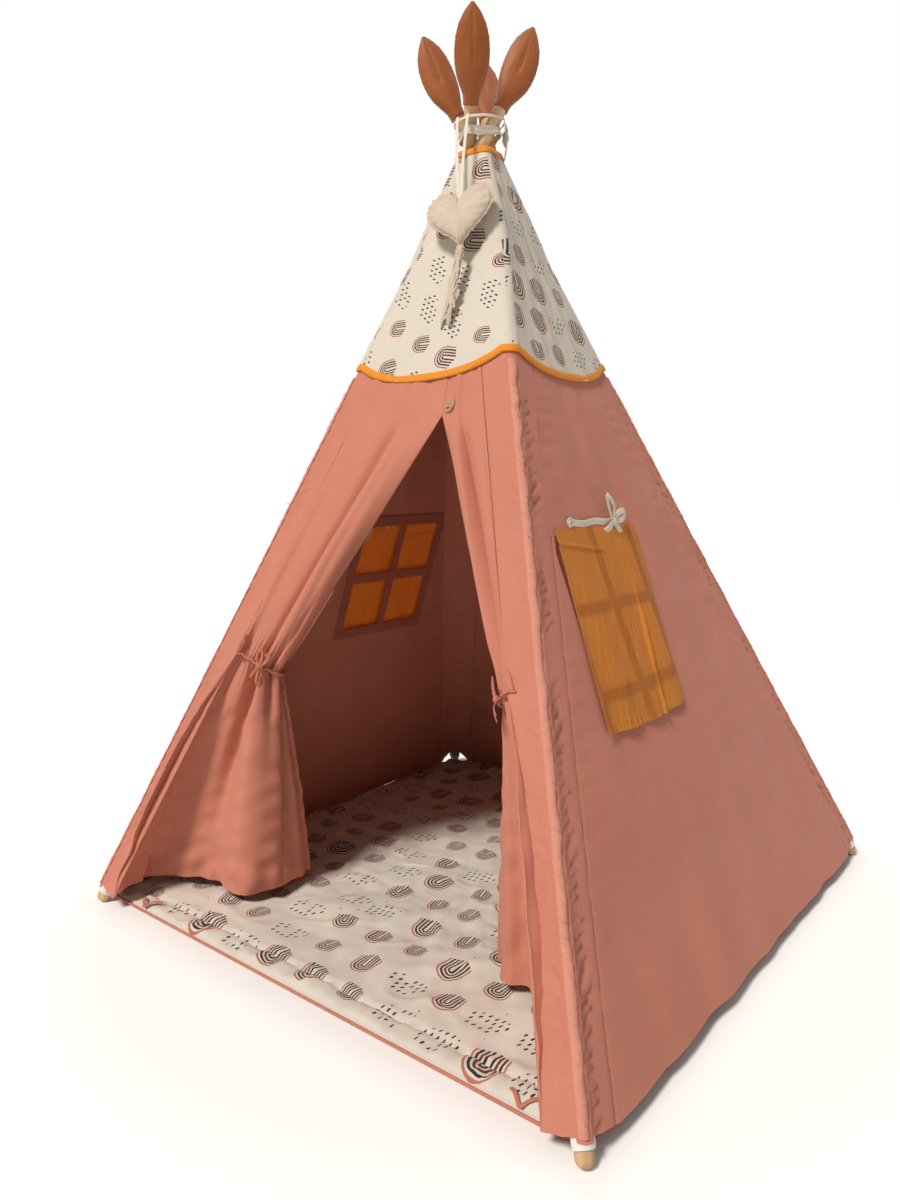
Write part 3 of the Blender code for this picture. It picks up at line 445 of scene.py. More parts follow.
# %% Print material
def printed_cotton(name, ground, shade, enlarged):
    """Cream cloth with a random print of arches, dashes and specks, in metres of cloth."""
    material = cotton(name, ground, shade, weave_mm=2.0, streak=0.08, sheen=0.1)
    tree = material.node_tree
    base_colour = tree.nodes["Principled BSDF"].inputs["Base Color"]

    def does(operation):
        return lambda *inputs: add(tree, "ShaderNodeMath", inputs, operation=operation).outputs[0]

    plus, minus, times, over = map(does, ("ADD", "SUBTRACT", "MULTIPLY", "DIVIDE"))
    less, more, whole, part_of_one = map(does, ("LESS_THAN", "GREATER_THAN", "FLOOR", "FRACT"))
    times_plus = does("MULTIPLY_ADD")

    def scaled(vector, factor):
        return add(tree, "ShaderNodeVectorMath", {0: vector, "Scale": factor}, operation="SCALE")

    def length(*parts):
        joined = add(tree, "ShaderNodeCombineXYZ", parts)
        return add(tree, "ShaderNodeVectorMath", [joined], operation="LENGTH").outputs["Value"]

    def dice(*parts):
        cell = add(tree, "ShaderNodeCombineXYZ", parts)
        return add(tree, "ShaderNodeTexWhiteNoise", [cell], noise_dimensions="3D").outputs

    def stagger(row):
        return times(does("MODULO")(does("ABSOLUTE")(row), 2.0), 0.5)

    metres = scaled(add(tree, "ShaderNodeUVMap", uv_map="metres"), 1 / enlarged)
    wobble = add(tree, "ShaderNodeTexNoise", {"Vector": metres, "Scale": 160.0, "Detail": 1.0})
    wobble = [wobble.outputs["Color"], (0.5, 0.5, 0.5)]
    wobble = add(tree, "ShaderNodeVectorMath", wobble, operation="SUBTRACT")
    metres = add(tree, "ShaderNodeVectorMath", [metres, scaled(wobble, 0.0011)], operation="ADD")
    place = add(tree, "ShaderNodeSeparateXYZ", [metres])

    # One cell holds one motif. Rows are 58 mm apart, cells 68 mm, and every other row is shifted.
    cell_width, cell_height, arch_share = 0.068, 0.058, 0.62
    row = over(place.outputs[1], cell_height)
    row_number = whole(row)
    column = plus(over(place.outputs[0], cell_width), stagger(row_number))
    column_number = whole(column)
    dice_parts = add(tree, "ShaderNodeSeparateXYZ", [dice(column_number, row_number, 0.37)["Color"]])
    kind, size, jitter = dice_parts.outputs
    local_x = times(minus(minus(column, column_number), 0.5), cell_width)
    local_x = plus(local_x, times_plus(jitter, 0.014, -0.007))
    local_y = times(minus(minus(row, row_number), 0.5), cell_height)
    local_y = plus(local_y, times_plus(size, 0.008, -0.008))

    # An arch: rings round a centre, with straight legs on the open side, which is up (+V).
    turn = times_plus(jitter, 0.5, -0.25)
    cosine, sine = does("COSINE")(turn), does("SINE")(turn)
    arch_x = minus(times(local_x, cosine), times(local_y, sine))
    arch_y = plus(times(local_x, sine), times(local_y, cosine))
    radius = times_plus(does("POWER")(size, 1.2), 0.0100, 0.0130)
    ring = over(length(arch_x, does("MINIMUM")(arch_y, 0.0), 0.0), radius)
    leg_end = less(over(arch_y, radius), times_plus(ring, -0.45, 1.35))
    is_arch = times(less(kind, arch_share), leg_end)

    def stripe(low, high):
        return times(times(more(ring, low), less(ring, high)), is_arch)

    # A cluster of dashes: a staggered lattice of short strokes inside a slanted oval. Some are missing.
    dash_pitch, dash_rows, left_out = 0.0092, 0.0088, 0.82
    slant_x = times_plus(local_y, -0.35, local_x)
    dash_row = over(local_y, dash_rows)
    dash_row_number = whole(dash_row)
    dash_column = plus(over(slant_x, dash_pitch), stagger(dash_row_number))
    dash_x = minus(part_of_one(dash_column), 0.5)
    dash = length(times(dash_x, 2.1), minus(part_of_one(dash_row), 0.5), 0.0)
    oval = length(times(slant_x, 0.75), local_y, 0.0)
    chosen = dice(whole(dash_column), dash_row_number, column_number)["Value"]
    dash = plus(dash, more(chosen, left_out))
    dashes = times(times(less(dash, 0.33), less(oval, 0.0190)), more(kind, arch_share))

    # Lone specks on a lattice of their own, kept off the motifs.
    speck_pitch = 0.021
    speck_cells = {"Vector": scaled(metres, 1 / speck_pitch), "Scale": 1.0, "Randomness": 0.8}
    speck = add(tree, "ShaderNodeTexVoronoi", speck_cells).outputs
    speck_dice = add(tree, "ShaderNodeSeparateXYZ", [speck["Color"]])
    specks = times(less(speck["Distance"], 0.062), more(speck_dice.outputs[0], 0.45))
    specks = times(specks, times(more(oval, 0.0215), more(ring, 1.25)))

    charcoal, brown, rose = "37302D", "6E3D2F", "B5705C"
    inks = (
        (stripe(0.90, 1.03), rose),
        (stripe(0.63, 0.78), charcoal),
        (stripe(0.37, 0.52), brown),
        (stripe(0.12, 0.26), charcoal),
        (does("MAXIMUM")(dashes, specks), charcoal),
    )
    colour = base_colour.links[0].from_socket
    for where, ink in inks:
        colour = mixed(tree, where, colour, ink)
    tree.links.new(colour, base_colour)
    return material


cap_print = printed_cotton("printed_cotton_cap", "DED5C8", "D1C6B6", enlarged=1.1)
mat_print = printed_cotton("printed_cotton_mat", "DCD4C9", "CFC5B7", enlarged=1.3)
print("printed cottons made")

# %% [markdown]
# ## Pine and plywood
#
# The poles are sanded pine dowels without varnish: pale honey, with grain lines that run along the
# pole and a few darker streaks. A noise field stretched sixty times along the pole's own axis gives
# the grain, so each pole turns the texture space to its own lean. The tag is thin birch plywood.


# %% Wood materials
def wood(name, light, dark, grain_mm, along):
    """Sanded wood with grain stretched along a direction of the object's space."""
    material, tree, shader = painted(name, Roughness=0.55, Specular_IOR_Level=0.4)
    space = add(tree, "ShaderNodeTexCoord").outputs["Object"]
    turned = add(tree, "ShaderNodeMapping", {"Vector": space}, vector_type="TEXTURE")
    turned.inputs["Rotation"].default_value = along.to_track_quat("Z", "Y").to_euler()
    across = 1000 / grain_mm
    fibres = add(tree, "ShaderNodeMapping", {"Vector": turned, "Scale": (across, across, across / 60)})
    grain = add(tree, "ShaderNodeTexNoise", {"Vector": fibres, "Scale": 0.35, "Detail": 5.0})
    streaks = add(tree, "ShaderNodeTexNoise", {"Vector": fibres, "Scale": 0.12, "Distortion": 0.6})
    tone = add(tree, "ShaderNodeMath", [grain, streaks], operation="ADD")
    tree.links.new(mixed(tree, mapped(tree, tone, 0.75, 1.25), dark, light), shader.inputs["Base Color"])
    bump = add(tree, "ShaderNodeBump", {"Height": grain, "Strength": 0.2, "Distance": 0.0003})
    tree.links.new(bump.outputs[0], shader.inputs["Normal"])
    return material


CORNERS = {"front_left": (-1, -1), "front_right": (1, -1), "back_right": (1, 1), "back_left": (-1, 1)}
pole_up = {c: Vector(joints[f"topper_slide_{c}"]["axis"]).normalized() for c in CORNERS}
bare = {f"pole_{c}": wood(f"sanded_pine_{c}", "E2C39A", "B98F61", 2.5, pole_up[c]) for c in CORNERS}
bare["door_tag"] = wood("birch_plywood", "C79B78", "A07656", 2.0, Vector((1, 0, 0)))
for node_name, material in bare.items():
    nodes[node_name].data.materials.clear()
    nodes[node_name].data.materials.append(material)
print("wood on", len(CORNERS), "poles and the tag")

# %% [markdown]
# ## The cover's own coordinates
#
# The poles pass beside each other at the crossing, so a level section through the cover is a square
# that turns a little with height. Every piece of cloth is placed on it by a side, a distance from
# that side's middle, a distance outwards and a height. The numbers come from the hinges in the
# frame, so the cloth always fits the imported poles.

# %% Sizes read from the frame
hinge = Vector(joints["pole_fold_front_left"]["pos_m"])
crossing_height, crossing_offset = hinge.z, math.hypot(hinge.x, hinge.y)
foot = hinge - pole_up["front_left"] * hinge.z / pole_up["front_left"].z
base_half = -foot.x
pole_radius = 0.012
sleeve_radius = 0.0136
touch_gap = 0.0003
cloth = 0.002
reach = sleeve_radius + touch_gap
lean = math.atan(base_half / crossing_height)
tilt = math.atan(base_half * math.sqrt(2) / crossing_height)
most_turn = math.radians(8)
round_width = 0.022
sharp_edge = math.radians(62)
up_way = np.array([0, 0, 1])
FOLD = "pole_fold_front_left"
SIDES = {"front": 0, "right": 1, "back": 2, "left": 3}
WINDOW_CORNERS = {"left": "back_left", "right": "front_right"}
print(f"feet {2 * base_half:.3f} m apart, crossing at {crossing_height:.3f} m")


# %% Points on the cover
def square_at(height):
    """Half the side of the level section at a height, and how far it has turned."""
    share = np.asarray(height, float) / crossing_height
    away, around = base_half * math.sqrt(2) * (1 - share), crossing_offset * share
    turn = np.arctan2(around, away)
    kept = np.minimum(turn, most_turn)
    more = turn - kept
    return np.hypot(away, around) / math.sqrt(2) * (np.cos(more) + np.sin(more)), kept


def turned(side, x, y, height):
    """Plan coordinates of a side, turned into the world's frame."""
    x, y, height = np.broadcast_arrays(*(np.asarray(v, float) for v in (x, y, height)))
    angle = SIDES[side] * math.pi / 2 + square_at(height)[1]
    cosine, sine = np.cos(angle), np.sin(angle)
    return np.stack((x * cosine - y * sine, x * sine + y * cosine, height), axis=-1)


def on_side(side, x, outwards, height):
    """Points this far outside the inner face of a side, and x from its middle."""
    half = square_at(height)[0]
    return turned(side, x, -half - (reach + np.asarray(outwards)) / math.cos(lean), height)


def round_pole(side, share, outwards, height):
    """Points on the rounded corner past a side's right end, from one face (0) to the next (1)."""
    half = square_at(height)[0]
    angle = np.asarray(share) * math.pi / 2
    slant = lean + (tilt - lean) * (1 - np.abs(2 * np.asarray(share) - 1))
    radius = (reach + np.asarray(outwards)) / np.cos(slant)
    return turned(side, half + radius * np.sin(angle), -half - radius * np.cos(angle), height)


# Each corner lies between the right end of one side and the left end of the next.
CORNER_SIDES = {
    "front_right": ("front", "right"),
    "back_right": ("right", "back"),
    "back_left": ("back", "left"),
    "front_left": ("left", "front"),
}
casing = 0.0465
# Where each side's cloth stays with the cover when the poles fold, as a share of its half width.
MIDDLE_SHARES = {"front": 0.31, "right": 0.20, "back": 0.0, "left": 0.29}


def middle_of(side, height):
    return MIDDLE_SHARES[side] * square_at(height)[0]


def fold_weight(side, hand, x, height):
    """How far a point on a side follows the pole at that hand: 0 at the middle, 1 at the casing."""
    half, middle = square_at(height)[0], middle_of(side, height)
    whole = half - hand * middle
    strip = np.minimum(casing, whole * 0.6)
    return np.clip((hand * (np.asarray(x) - middle)) / (whole - strip), 0, 1)


def soft_waves(x, y, size, seed, count=14):
    """A smooth random field of about one: a sum of waves near one size, in all directions."""
    chance = np.random.default_rng(seed)
    total = 0
    for _ in range(count):
        angle, phase = chance.uniform(0, 2 * math.pi, 2)
        wave = 2 * math.pi / (size * chance.uniform(0.7, 1.8))
        total = total + np.sin(wave * (x * math.cos(angle) + y * math.sin(angle)) + phase)
    return total / math.sqrt(count)


def smooth(share):
    share = np.clip(share, 0, 1)
    return share * share * (3 - 2 * share)


def bell(x, width):
    """1 at nought, and next to nothing beyond two widths."""
    return np.exp(-((x / width) ** 2))


def cycle(turns):
    return np.sin(2 * math.pi * turns)


# %% [markdown]
# ## From a grid of points to a piece of cloth
#
# Nearly every piece is a grid: rows down the cloth and columns across it. One function turns such a
# grid into a mesh with its UV map in metres and its stitch map, gives it two faces with a rim between
# them, and shades it smooth. A second one makes closed strips, for ties, tapes and bows, and a third
# lets a piece bend between the cover and a pole.


# %% Cloth from a grid
def grid_metres(points):
    """UVs for a grid, in metres along its middle row and column."""
    down = np.linalg.norm(np.diff(points, axis=0), axis=-1).mean(axis=1)
    across = np.linalg.norm(np.diff(points, axis=1), axis=-1).mean(axis=0)
    u, v = (np.concatenate([[0], np.cumsum(steps)]) for steps in (across, down))
    return np.stack(np.meshgrid(u, v), axis=-1)


def new_piece(name, verts, faces, layers, material):
    """A smooth mesh object with UV layers given per face corner."""
    mesh = bpy.data.meshes.new(name)
    mesh.from_pydata(np.asarray(verts, float).reshape(-1, 3).tolist(), [], faces)
    for layer_name, values in layers.items():
        flat = np.asarray(values, np.float32).reshape(-1)
        mesh.uv_layers.new(name=layer_name).data.foreach_set("uv", flat)
    mesh.materials.append(material)
    mesh.shade_smooth()
    piece = bpy.data.objects.new(name, mesh)
    bpy.context.scene.collection.objects.link(piece)
    return piece


def cloth_piece(name, points, material, metres=None, second=None, break_at=0, stitches=None, **settings):
    """A sheet through a grid of points (rows, columns, 3), with two faces and a rim round its edges.
    From the column break_at onwards its UVs come from the second set, where a pattern starts anew."""
    rows, columns = points.shape[:2]
    wrap, holes = settings.get("wrap", False), settings.get("holes")
    metres = grid_metres(points) if metres is None else np.asarray(metres)
    second = metres if second is None else second
    r, c = np.meshgrid(np.arange(rows - 1), np.arange(columns if wrap else columns - 1), indexing="ij")
    kept = np.ones(r.shape, bool) if holes is None else ~holes[: r.shape[0], : r.shape[1]]
    r, c = r[kept], c[kept]
    d = (c + 1) % columns
    cells_r, cells_c = np.stack((r, r + 1, r + 1, r), -1), np.stack((c, c, d, d), -1)
    faces = cells_r * columns + cells_c
    late = (c >= break_at)[:, None, None] & (break_at > 0)
    uvs = np.where(late, second[cells_r, cells_c], metres[cells_r, cells_c])
    sewn = None if stitches is None else stitches[cells_r, cells_c]
    verts, thickness = points.reshape(-1, 3), settings.get("thickness", 0.0014)
    if thickness:
        normals = unit(np.cross(np.gradient(points, axis=1), np.gradient(points, axis=0))).reshape(-1, 3)
        verts = np.concatenate([verts + normals * thickness / 2, verts - normals * thickness / 2])
        # The rim stands on every edge that only one face uses.
        starts, ends = faces, np.roll(faces, -1, axis=1)
        forward = {}
        for f in range(len(faces)):
            for k in range(4):
                forward[(int(starts[f, k]), int(ends[f, k]))] = (f, k)
        edge = [(a, b, at) for (a, b), at in forward.items() if (b, a) not in forward]
        size, rim = rows * columns, []
        rim_uv, rim_sewn = [], []
        for a, b, (f, k) in edge:
            rim.append((b, a, a + size, b + size))
            order = ((k + 1) % 4, k, k, (k + 1) % 4)
            rim_uv.append(uvs[f, list(order)])
            if sewn is not None:
                rim_sewn.append(sewn[f, list(order)] + (1, 0))
        under = faces[:, ::-1] + size
        uvs = np.concatenate([uvs, uvs[:, ::-1], np.array(rim_uv)])
        if sewn is not None:
            sewn = np.concatenate([sewn, sewn[:, ::-1], np.array(rim_sewn)])
        faces = np.concatenate([faces, under, np.array(rim)])
    used = np.unique(faces)
    number = np.full(len(verts), -1)
    number[used] = np.arange(len(used))
    layers = {"metres": uvs}
    if sewn is not None:
        layers["stitches"] = sewn
    piece = new_piece(name, verts[used], number[faces].tolist(), layers, material)
    piece.data.set_sharp_from_angle(angle=sharp_edge)
    piece["kept"] = (used % (rows * columns)).tolist()
    return piece


def unfolded(points, holes=None):
    """What a grid of cloth was cut to: its width and length along its folds, and its area."""
    across, down = np.diff(points, axis=1), np.diff(points, axis=0)
    cells = np.linalg.norm(np.cross(across[:-1], down[:, :-1]), axis=-1)
    if holes is not None:
        cells = cells * ~holes[: cells.shape[0], : cells.shape[1]]
    width = np.linalg.norm(across, axis=-1).sum(axis=1).max()
    length = np.linalg.norm(down, axis=-1).sum(axis=0).max()
    return {"flat": (float(width), float(length)), "area": float(cells.sum())}


def follow(piece, body, other, weights):
    """Bends a piece between two bodies by a weight per grid point."""
    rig.blend(piece, body, other, start=(0, 0, 0), end=(0, 0, 1))
    weights = np.asarray(weights, float).ravel()
    if "kept" in piece:
        weights = weights[list(piece["kept"])]
        del piece["kept"]
    piece.data.attributes["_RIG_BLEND"].data.foreach_set("value", weights.astype(np.float32))


def hang_on(piece, corner, weights, slot, *replaced):
    """A piece that bends between the cover and one pole, its cloth and the solids it stands for."""
    follow(piece, "cover", f"pole_{corner}", weights)
    name_it(piece, slot, *replaced)


def ride_on(piece, body, slot, *replaced):
    """A piece that rides on one body, its cloth and the solids it stands for."""
    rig.ride(piece, body)
    name_it(piece, slot, *replaced)


def name_it(piece, slot, *replaced):
    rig.slot(piece, slot)
    if replaced:
        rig.replaces(piece, *replaced)


def spots_of(piece):
    return np.array([v.co for v in piece.data.vertices])


def mend(piece, close=False):
    """Turns a closed piece's faces outwards, after closing its open ends where asked."""
    shape = bmesh.new()
    shape.from_mesh(piece.data)
    if close:
        bmesh.ops.holes_fill(shape, edges=shape.edges, sides=0)
    bmesh.ops.recalc_face_normals(shape, faces=shape.faces)
    shape.to_mesh(piece.data)
    shape.free()


def curve_through(knots, count):
    """Points on a Catmull-Rom curve through the knots, spaced by the knots' own distances."""
    knots = np.asarray(knots, float)
    spans = np.concatenate([[0], np.cumsum(np.linalg.norm(np.diff(knots, axis=0), axis=1))])
    at = np.linspace(0, spans[-1], count)
    k = np.clip(np.searchsorted(spans, at, side="right") - 1, 0, len(knots) - 2)
    t = ((at - spans[k]) / (spans[k + 1] - spans[k]))[:, None]
    a, b = knots[np.maximum(k - 1, 0)], knots[k]
    c, d = knots[k + 1], knots[np.minimum(k + 2, len(knots) - 1)]
    second, third = 2 * a - 5 * b + 4 * c - d, 3 * b - a - 3 * c + d
    return 0.5 * (2 * b + (c - a) * t + second * t**2 + third * t**3)


def unit(vectors):
    return vectors / (np.linalg.norm(vectors, axis=-1, keepdims=True) + 1e-12)


def grid_normals(points, towards):
    """Unit normals of a grid, all turned to one direction's side."""
    normal = unit(np.cross(np.gradient(points, axis=1), np.gradient(points, axis=0)))
    side = np.sign((normal * np.asarray(towards)).sum(axis=-1, keepdims=True))
    return normal * np.where(side == 0, 1, side)


def strip(knots, width, depth, facing, count=26, ends=0.55, ragged=0.0, seed=0):
    """Rings of a closed flat strip along a curve. Its flat side looks in a direction."""
    chance = np.random.default_rng(seed)
    path = curve_through(knots, count)
    along = unit(np.gradient(path, axis=0))
    side = unit(np.cross(along, np.asarray(facing, float)))
    face = np.cross(side, along)
    turn = np.linspace(0, 2 * math.pi, 12, endpoint=False)
    flat = np.sign(np.cos(turn)) * np.abs(np.cos(turn)) ** 0.6
    size = np.ones(count)
    size[0] = size[-1] = ends
    wide = size * width / 2 * (1 + ragged * chance.uniform(-1, 1, count))
    deep = size * depth / 2 * (1 + ragged * chance.uniform(-0.6, 0.6, count))
    rings = path[:, None] + side[:, None] * (wide[:, None] * flat)[..., None]
    return rings + face[:, None] * (deep[:, None] * np.sin(turn))[..., None]


def strips_piece(name, grids, material):
    """One piece from several closed strips, with a face over each end."""
    verts, faces, uvs = [], [], []
    for grid in grids:
        rows, columns = grid.shape[:2]
        base, metres = len(verts), grid_metres(grid)
        verts += grid.reshape(-1, 3).tolist()
        step = metres[0, 1, 0]
        for r in range(rows - 1):
            for c in range(columns):
                d = (c + 1) % columns
                cells = ((r, c), (r, c + 1), (r + 1, c + 1), (r + 1, c))
                faces.append([base + i * columns + j % columns for i, j in cells])
                uvs += [(j * step, metres[i, 0, 1]) for i, j in cells]
        for r, order in ((0, -1), (rows - 1, 1)):
            faces.append([base + r * columns + c for c in range(columns)][::order])
            uvs += [metres[r, c] for c in range(columns)]
    piece = new_piece(name, verts, faces, {"metres": uvs}, material)
    mend(piece)
    return piece


def slope(height):
    """Distance up the sloping cloth to a height."""
    return np.asarray(height) / math.cos(lean)


# %% [markdown]
# ## The cover
#
# The cover is cut into gores sewn round the poles. Each corner of it is one grid here: half of one
# wall, the casing round the pole, and half of the next wall. The casings are stitched 46 mm from the
# pole, and the cloth there puckers, because the seam draws it in. Between the casings the walls hang
# nearly flat, with soft ripples that run down from the cap. The alternative, one mesh for the whole
# cover, could not bend at four poles at once.

# %% Wall sizes
hem_height, cover_top = 0.033, crossing_height - 0.230
hem_drop, hem_corner = 0.011, 0.070
window_low, window_high, window_width = 0.487, 0.715, 0.240
window_border, window_bar = 0.022, 0.020
WINDOWS = {"left": -0.082, "right": -0.108}
row_step = 0.0065
hem_stitch = 0.014
cap_inside = cloth + 0.0008
cap_corner, cap_scallop = crossing_height - 0.396, 0.034
cap_low = cap_corner - cap_scallop


def wall_places(side, hand, height):
    """Places across half a wall at one height, from the pole to the middle."""
    half, middle = float(square_at(height)[0]), float(middle_of(side, height))
    strip_width = min(casing, (half - hand * middle) * 0.6)
    fine = [strip_width * s for s in (0, 0.12, 0.25, 0.4, 0.55, 0.7, 0.85, 0.95, 1.0, 1.05, 1.16)]
    stops = [hand * half - hand * d for d in fine]
    if side in WINDOWS and hand == -1:
        narrow = float(narrowed(height))
        edges = [(WINDOWS[side] + s * window_width / 2) * narrow for s in (-1, 1)]
        parts = [(stops[-1], edges[0], 8), (edges[0], edges[1], 14), (edges[1], middle, 5)]
    else:
        parts = [(stops[-1], middle, 27)]
    for start, end, count in parts:
        stops += [start + (end - start) * (i + 1) / count for i in range(count)]
    return stops


def wall_heights(low, high, *between):
    stops = sorted({low, high, *between})
    found = [low]
    for a, b in zip(stops, stops[1:], strict=False):
        count = max(1, round((b - a) / row_step))
        found += [a + (b - a) * (i + 1) / count for i in range(count)]
    return found


def hem_shift(side, x, height):
    """How far a point hangs below its level: the hem drops away from the corners."""
    away = np.clip((square_at(height)[0] - np.abs(x)) / hem_corner, 0, 1)
    drop = hem_drop
    if side in ("back", "left"):
        away, drop = np.clip(away * 2, 0, 1), hem_height - 0.0014
    return drop * smooth(away) * np.clip(1 - (height - hem_height) / 0.12, 0, 1) ** 1.5


def narrowed(height):
    """1 up to the windows' top edge, and above it the wall's width as a share of that there."""
    return np.minimum(1, square_at(height)[0] / square_at(window_high)[0])


def calm(side, x, height):
    """0 near a window and under the cap, where the cloth lies flat, and 1 elsewhere."""
    free = smooth((cap_low - 0.005 - height) / 0.04)
    if side in WINDOWS:
        away_x = np.abs(x - WINDOWS[side]) - window_width / 2 - window_border
        away_z = np.abs(height - (window_low + window_high) / 2) - (window_high - window_low) / 2
        free = free * smooth((np.maximum(away_x, away_z - window_border) + 0.004) / 0.035)
    return free


# %% Sew the corners of the cover
pucker_pitch, crease_pitch, pole_pucker_pitch, print_shift = 0.023, 0.034, 0.021, 1.37
pucker_depth, crease_depth, groove_depth = 0.0042, 0.0009, -0.0013
ripple_depth, hang_depth, small_depth = 0.0020, 0.0024, 0.0003
COVER_NODES = {
    "front_right": ("right_wall", "right_door_casing"),
    "back_right": ("back_wall",),
    "back_left": ("left_wall",),
    "front_left": ("left_door_casing",),
}
heights = np.array(wall_heights(hem_height, cover_top, window_low, window_high))
arc = np.linspace(0, 1, 9)[1:-1]
for corner, (first, second) in CORNER_SIDES.items():
    parts = []
    for side, hand in ((first, 1), (second, -1)):
        x = np.array([wall_places(side, hand, z) for z in heights])
        hole = np.zeros(x.shape, bool)
        if side in WINDOWS and hand == -1:
            between = (heights >= window_low - 1e-6) & (heights < window_high - 1e-6)
            hole[between, 18:32] = True
        if side == "front":
            x, hole = x[:, :9], hole[:, :9]
        z = np.repeat(heights[:, None], x.shape[1], axis=1)
        half = square_at(z)[0]
        inwards = half - hand * x
        strip_width = np.minimum(casing, (half - hand * middle_of(side, z)) * 0.6)
        level_v = slope(z)
        past = inwards - strip_width
        # Puckers: short slanting folds that start at the pole and fade at the stitch line.
        wander = soft_waves(x * 0, z, 0.09, 3) * 0.35
        pucker = 0.6 - 1.6 * np.abs(cycle(level_v / pucker_pitch + inwards * 11 + wander)) ** 0.6
        uneven = np.clip(0.85 + 0.4 * soft_waves(x * 0, z, 0.12, 8), 0, 1.5)
        fade = bell(inwards - 0.012, 0.014) * uneven
        ripple = soft_waves(x, z * 0.35, 0.10, 11 + SIDES[side]) * smooth(past / 0.10)
        hang = soft_waves(x * 3.2, z * 0.25, 0.20, 31 + SIDES[side])
        hang = hang * smooth((z - 0.55) / 0.35) * smooth(past / 0.05)
        small = soft_waves(x, z, 0.045, 51 + SIDES[side]) * small_depth
        crease = cycle(level_v / crease_pitch + soft_waves(x * 0, z, 0.12, 77) * 0.5)
        crease = crease * bell(past - 0.022, 0.02)
        moved = ripple_depth * ripple + hang_depth * hang + small + crease_depth * crease
        moved = moved + pucker_depth * pucker * fade
        out = cloth / 2 + moved * calm(side, x, z) + groove_depth * bell(past, 0.0024)
        low_stitch = np.abs(z - hem_height - hem_stitch)
        near_stitch = np.minimum(np.abs(past), low_stitch)
        along = np.where(low_stitch < np.abs(past), x, level_v)
        place = on_side(side, x, out, z - hem_shift(side, x, z))
        uv = np.stack((x + SIDES[side] * print_shift, level_v), axis=-1)
        part = (place, fold_weight(side, hand, x, z), uv, np.stack((near_stitch, along), axis=-1))
        if hand == 1:
            part = tuple(a[:, ::-1] for a in part)
        parts.append((*part, hole))
    right_part, left_part = parts
    z = np.repeat(heights[:, None], len(arc), axis=1)
    share = np.repeat(arc[None, :], len(heights), axis=0)
    wander = soft_waves(z * 0, z, 0.09, 3) * 0.35
    fold = cycle(slope(z) / pole_pucker_pitch + share * 0.5 + wander)
    bulge = cloth / 2 + 0.0008 * fold * calm("front", z * 0, z) * (0.5 + 0.5 * share)
    bend = round_pole(first, share, bulge, z)
    round_uv = np.stack((share, share * 0), -1) * round_width
    round_back = np.stack((1 - share, share * 0), -1) * round_width
    before, after = right_part[0].shape[1], left_part[0].shape[1]
    unused = [np.zeros((len(heights), n, 2)) for n in (before, after)]
    first_uv = np.concatenate([right_part[2], right_part[2][:, -1:] + round_uv, unused[1]], 1)
    second_uv = np.concatenate([unused[0], left_part[2][:, :1] - round_back, left_part[2]], 1)
    plain = np.stack((np.ones_like(z), slope(z)), axis=-1)
    points = np.concatenate([right_part[0], bend, left_part[0]], axis=1)
    weights = np.concatenate([right_part[1], np.ones(z.shape), left_part[1]], axis=1)
    sewn = np.concatenate([right_part[3], plain, left_part[3]], axis=1)
    open_cells = np.zeros(points.shape[:2], bool)
    open_cells[:, before + len(arc) :] = left_part[4]
    maps = {"metres": first_uv, "second": second_uv, "break_at": before + len(arc) // 2, "stitches": sewn}
    piece = cloth_piece(f"cover_{corner}", points, terracotta, **maps, holes=open_cells)
    hang_on(piece, corner, weights, "terracotta_cotton", *COVER_NODES[corner])
    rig.sheet(piece, **unfolded(points, open_cells), held="stretched", rests_on=(f"pole_{corner}",))
    print(piece.name, points.shape[:2], "grid")

# %% Close the casings on the inside
# From inside the tent the poles are out of sight: the casing's inner layer runs from one stitch line
# to the other round the inner side of the pole.
sleeve_top = crossing_height - 0.42 * math.cos(tilt)
WAYS = ((-0.0465, -0.0152), (-0.0262, -0.0040), (-0.0108, 0.0108), (0.0040, 0.0262), (0.0152, 0.0465))
for corner, (first, _) in CORNER_SIDES.items():
    z = np.arange(hem_height + 0.004, sleeve_top, 0.006)
    profile = curve_through(np.column_stack([WAYS, np.zeros(5)]), 25)[:, :2]
    level = np.repeat(z[:, None], 25, axis=1)
    half = square_at(level)[0]
    wander = 0.4 * soft_waves(level, level * 0, 0.1, 61)
    gather = 0.0008 * cycle(slope(level) / 0.03 + wander)
    bump = gather * np.sin(math.pi * np.linspace(0, 1, 25))[None, :]
    points = turned(first, half + profile[:, 0] - bump, -half + profile[:, 1] + bump, level)
    inner = cloth_piece(f"casing_inside_{corner}", points, terracotta_plain, thickness=0.0012)
    ride_on(inner, f"pole_{corner}", "terracotta_cotton", f"pole_sleeve_{corner}")
print("casings closed")

# %% [markdown]
# ## The corner seams
#
# Along each pole the two gores meet in a raised seam. It is drawn in by its own thread, so it
# puckers every centimetre or so, and a few loose thread ends stick out of it. It stands on the pole's
# cloth and moves with the pole alone.

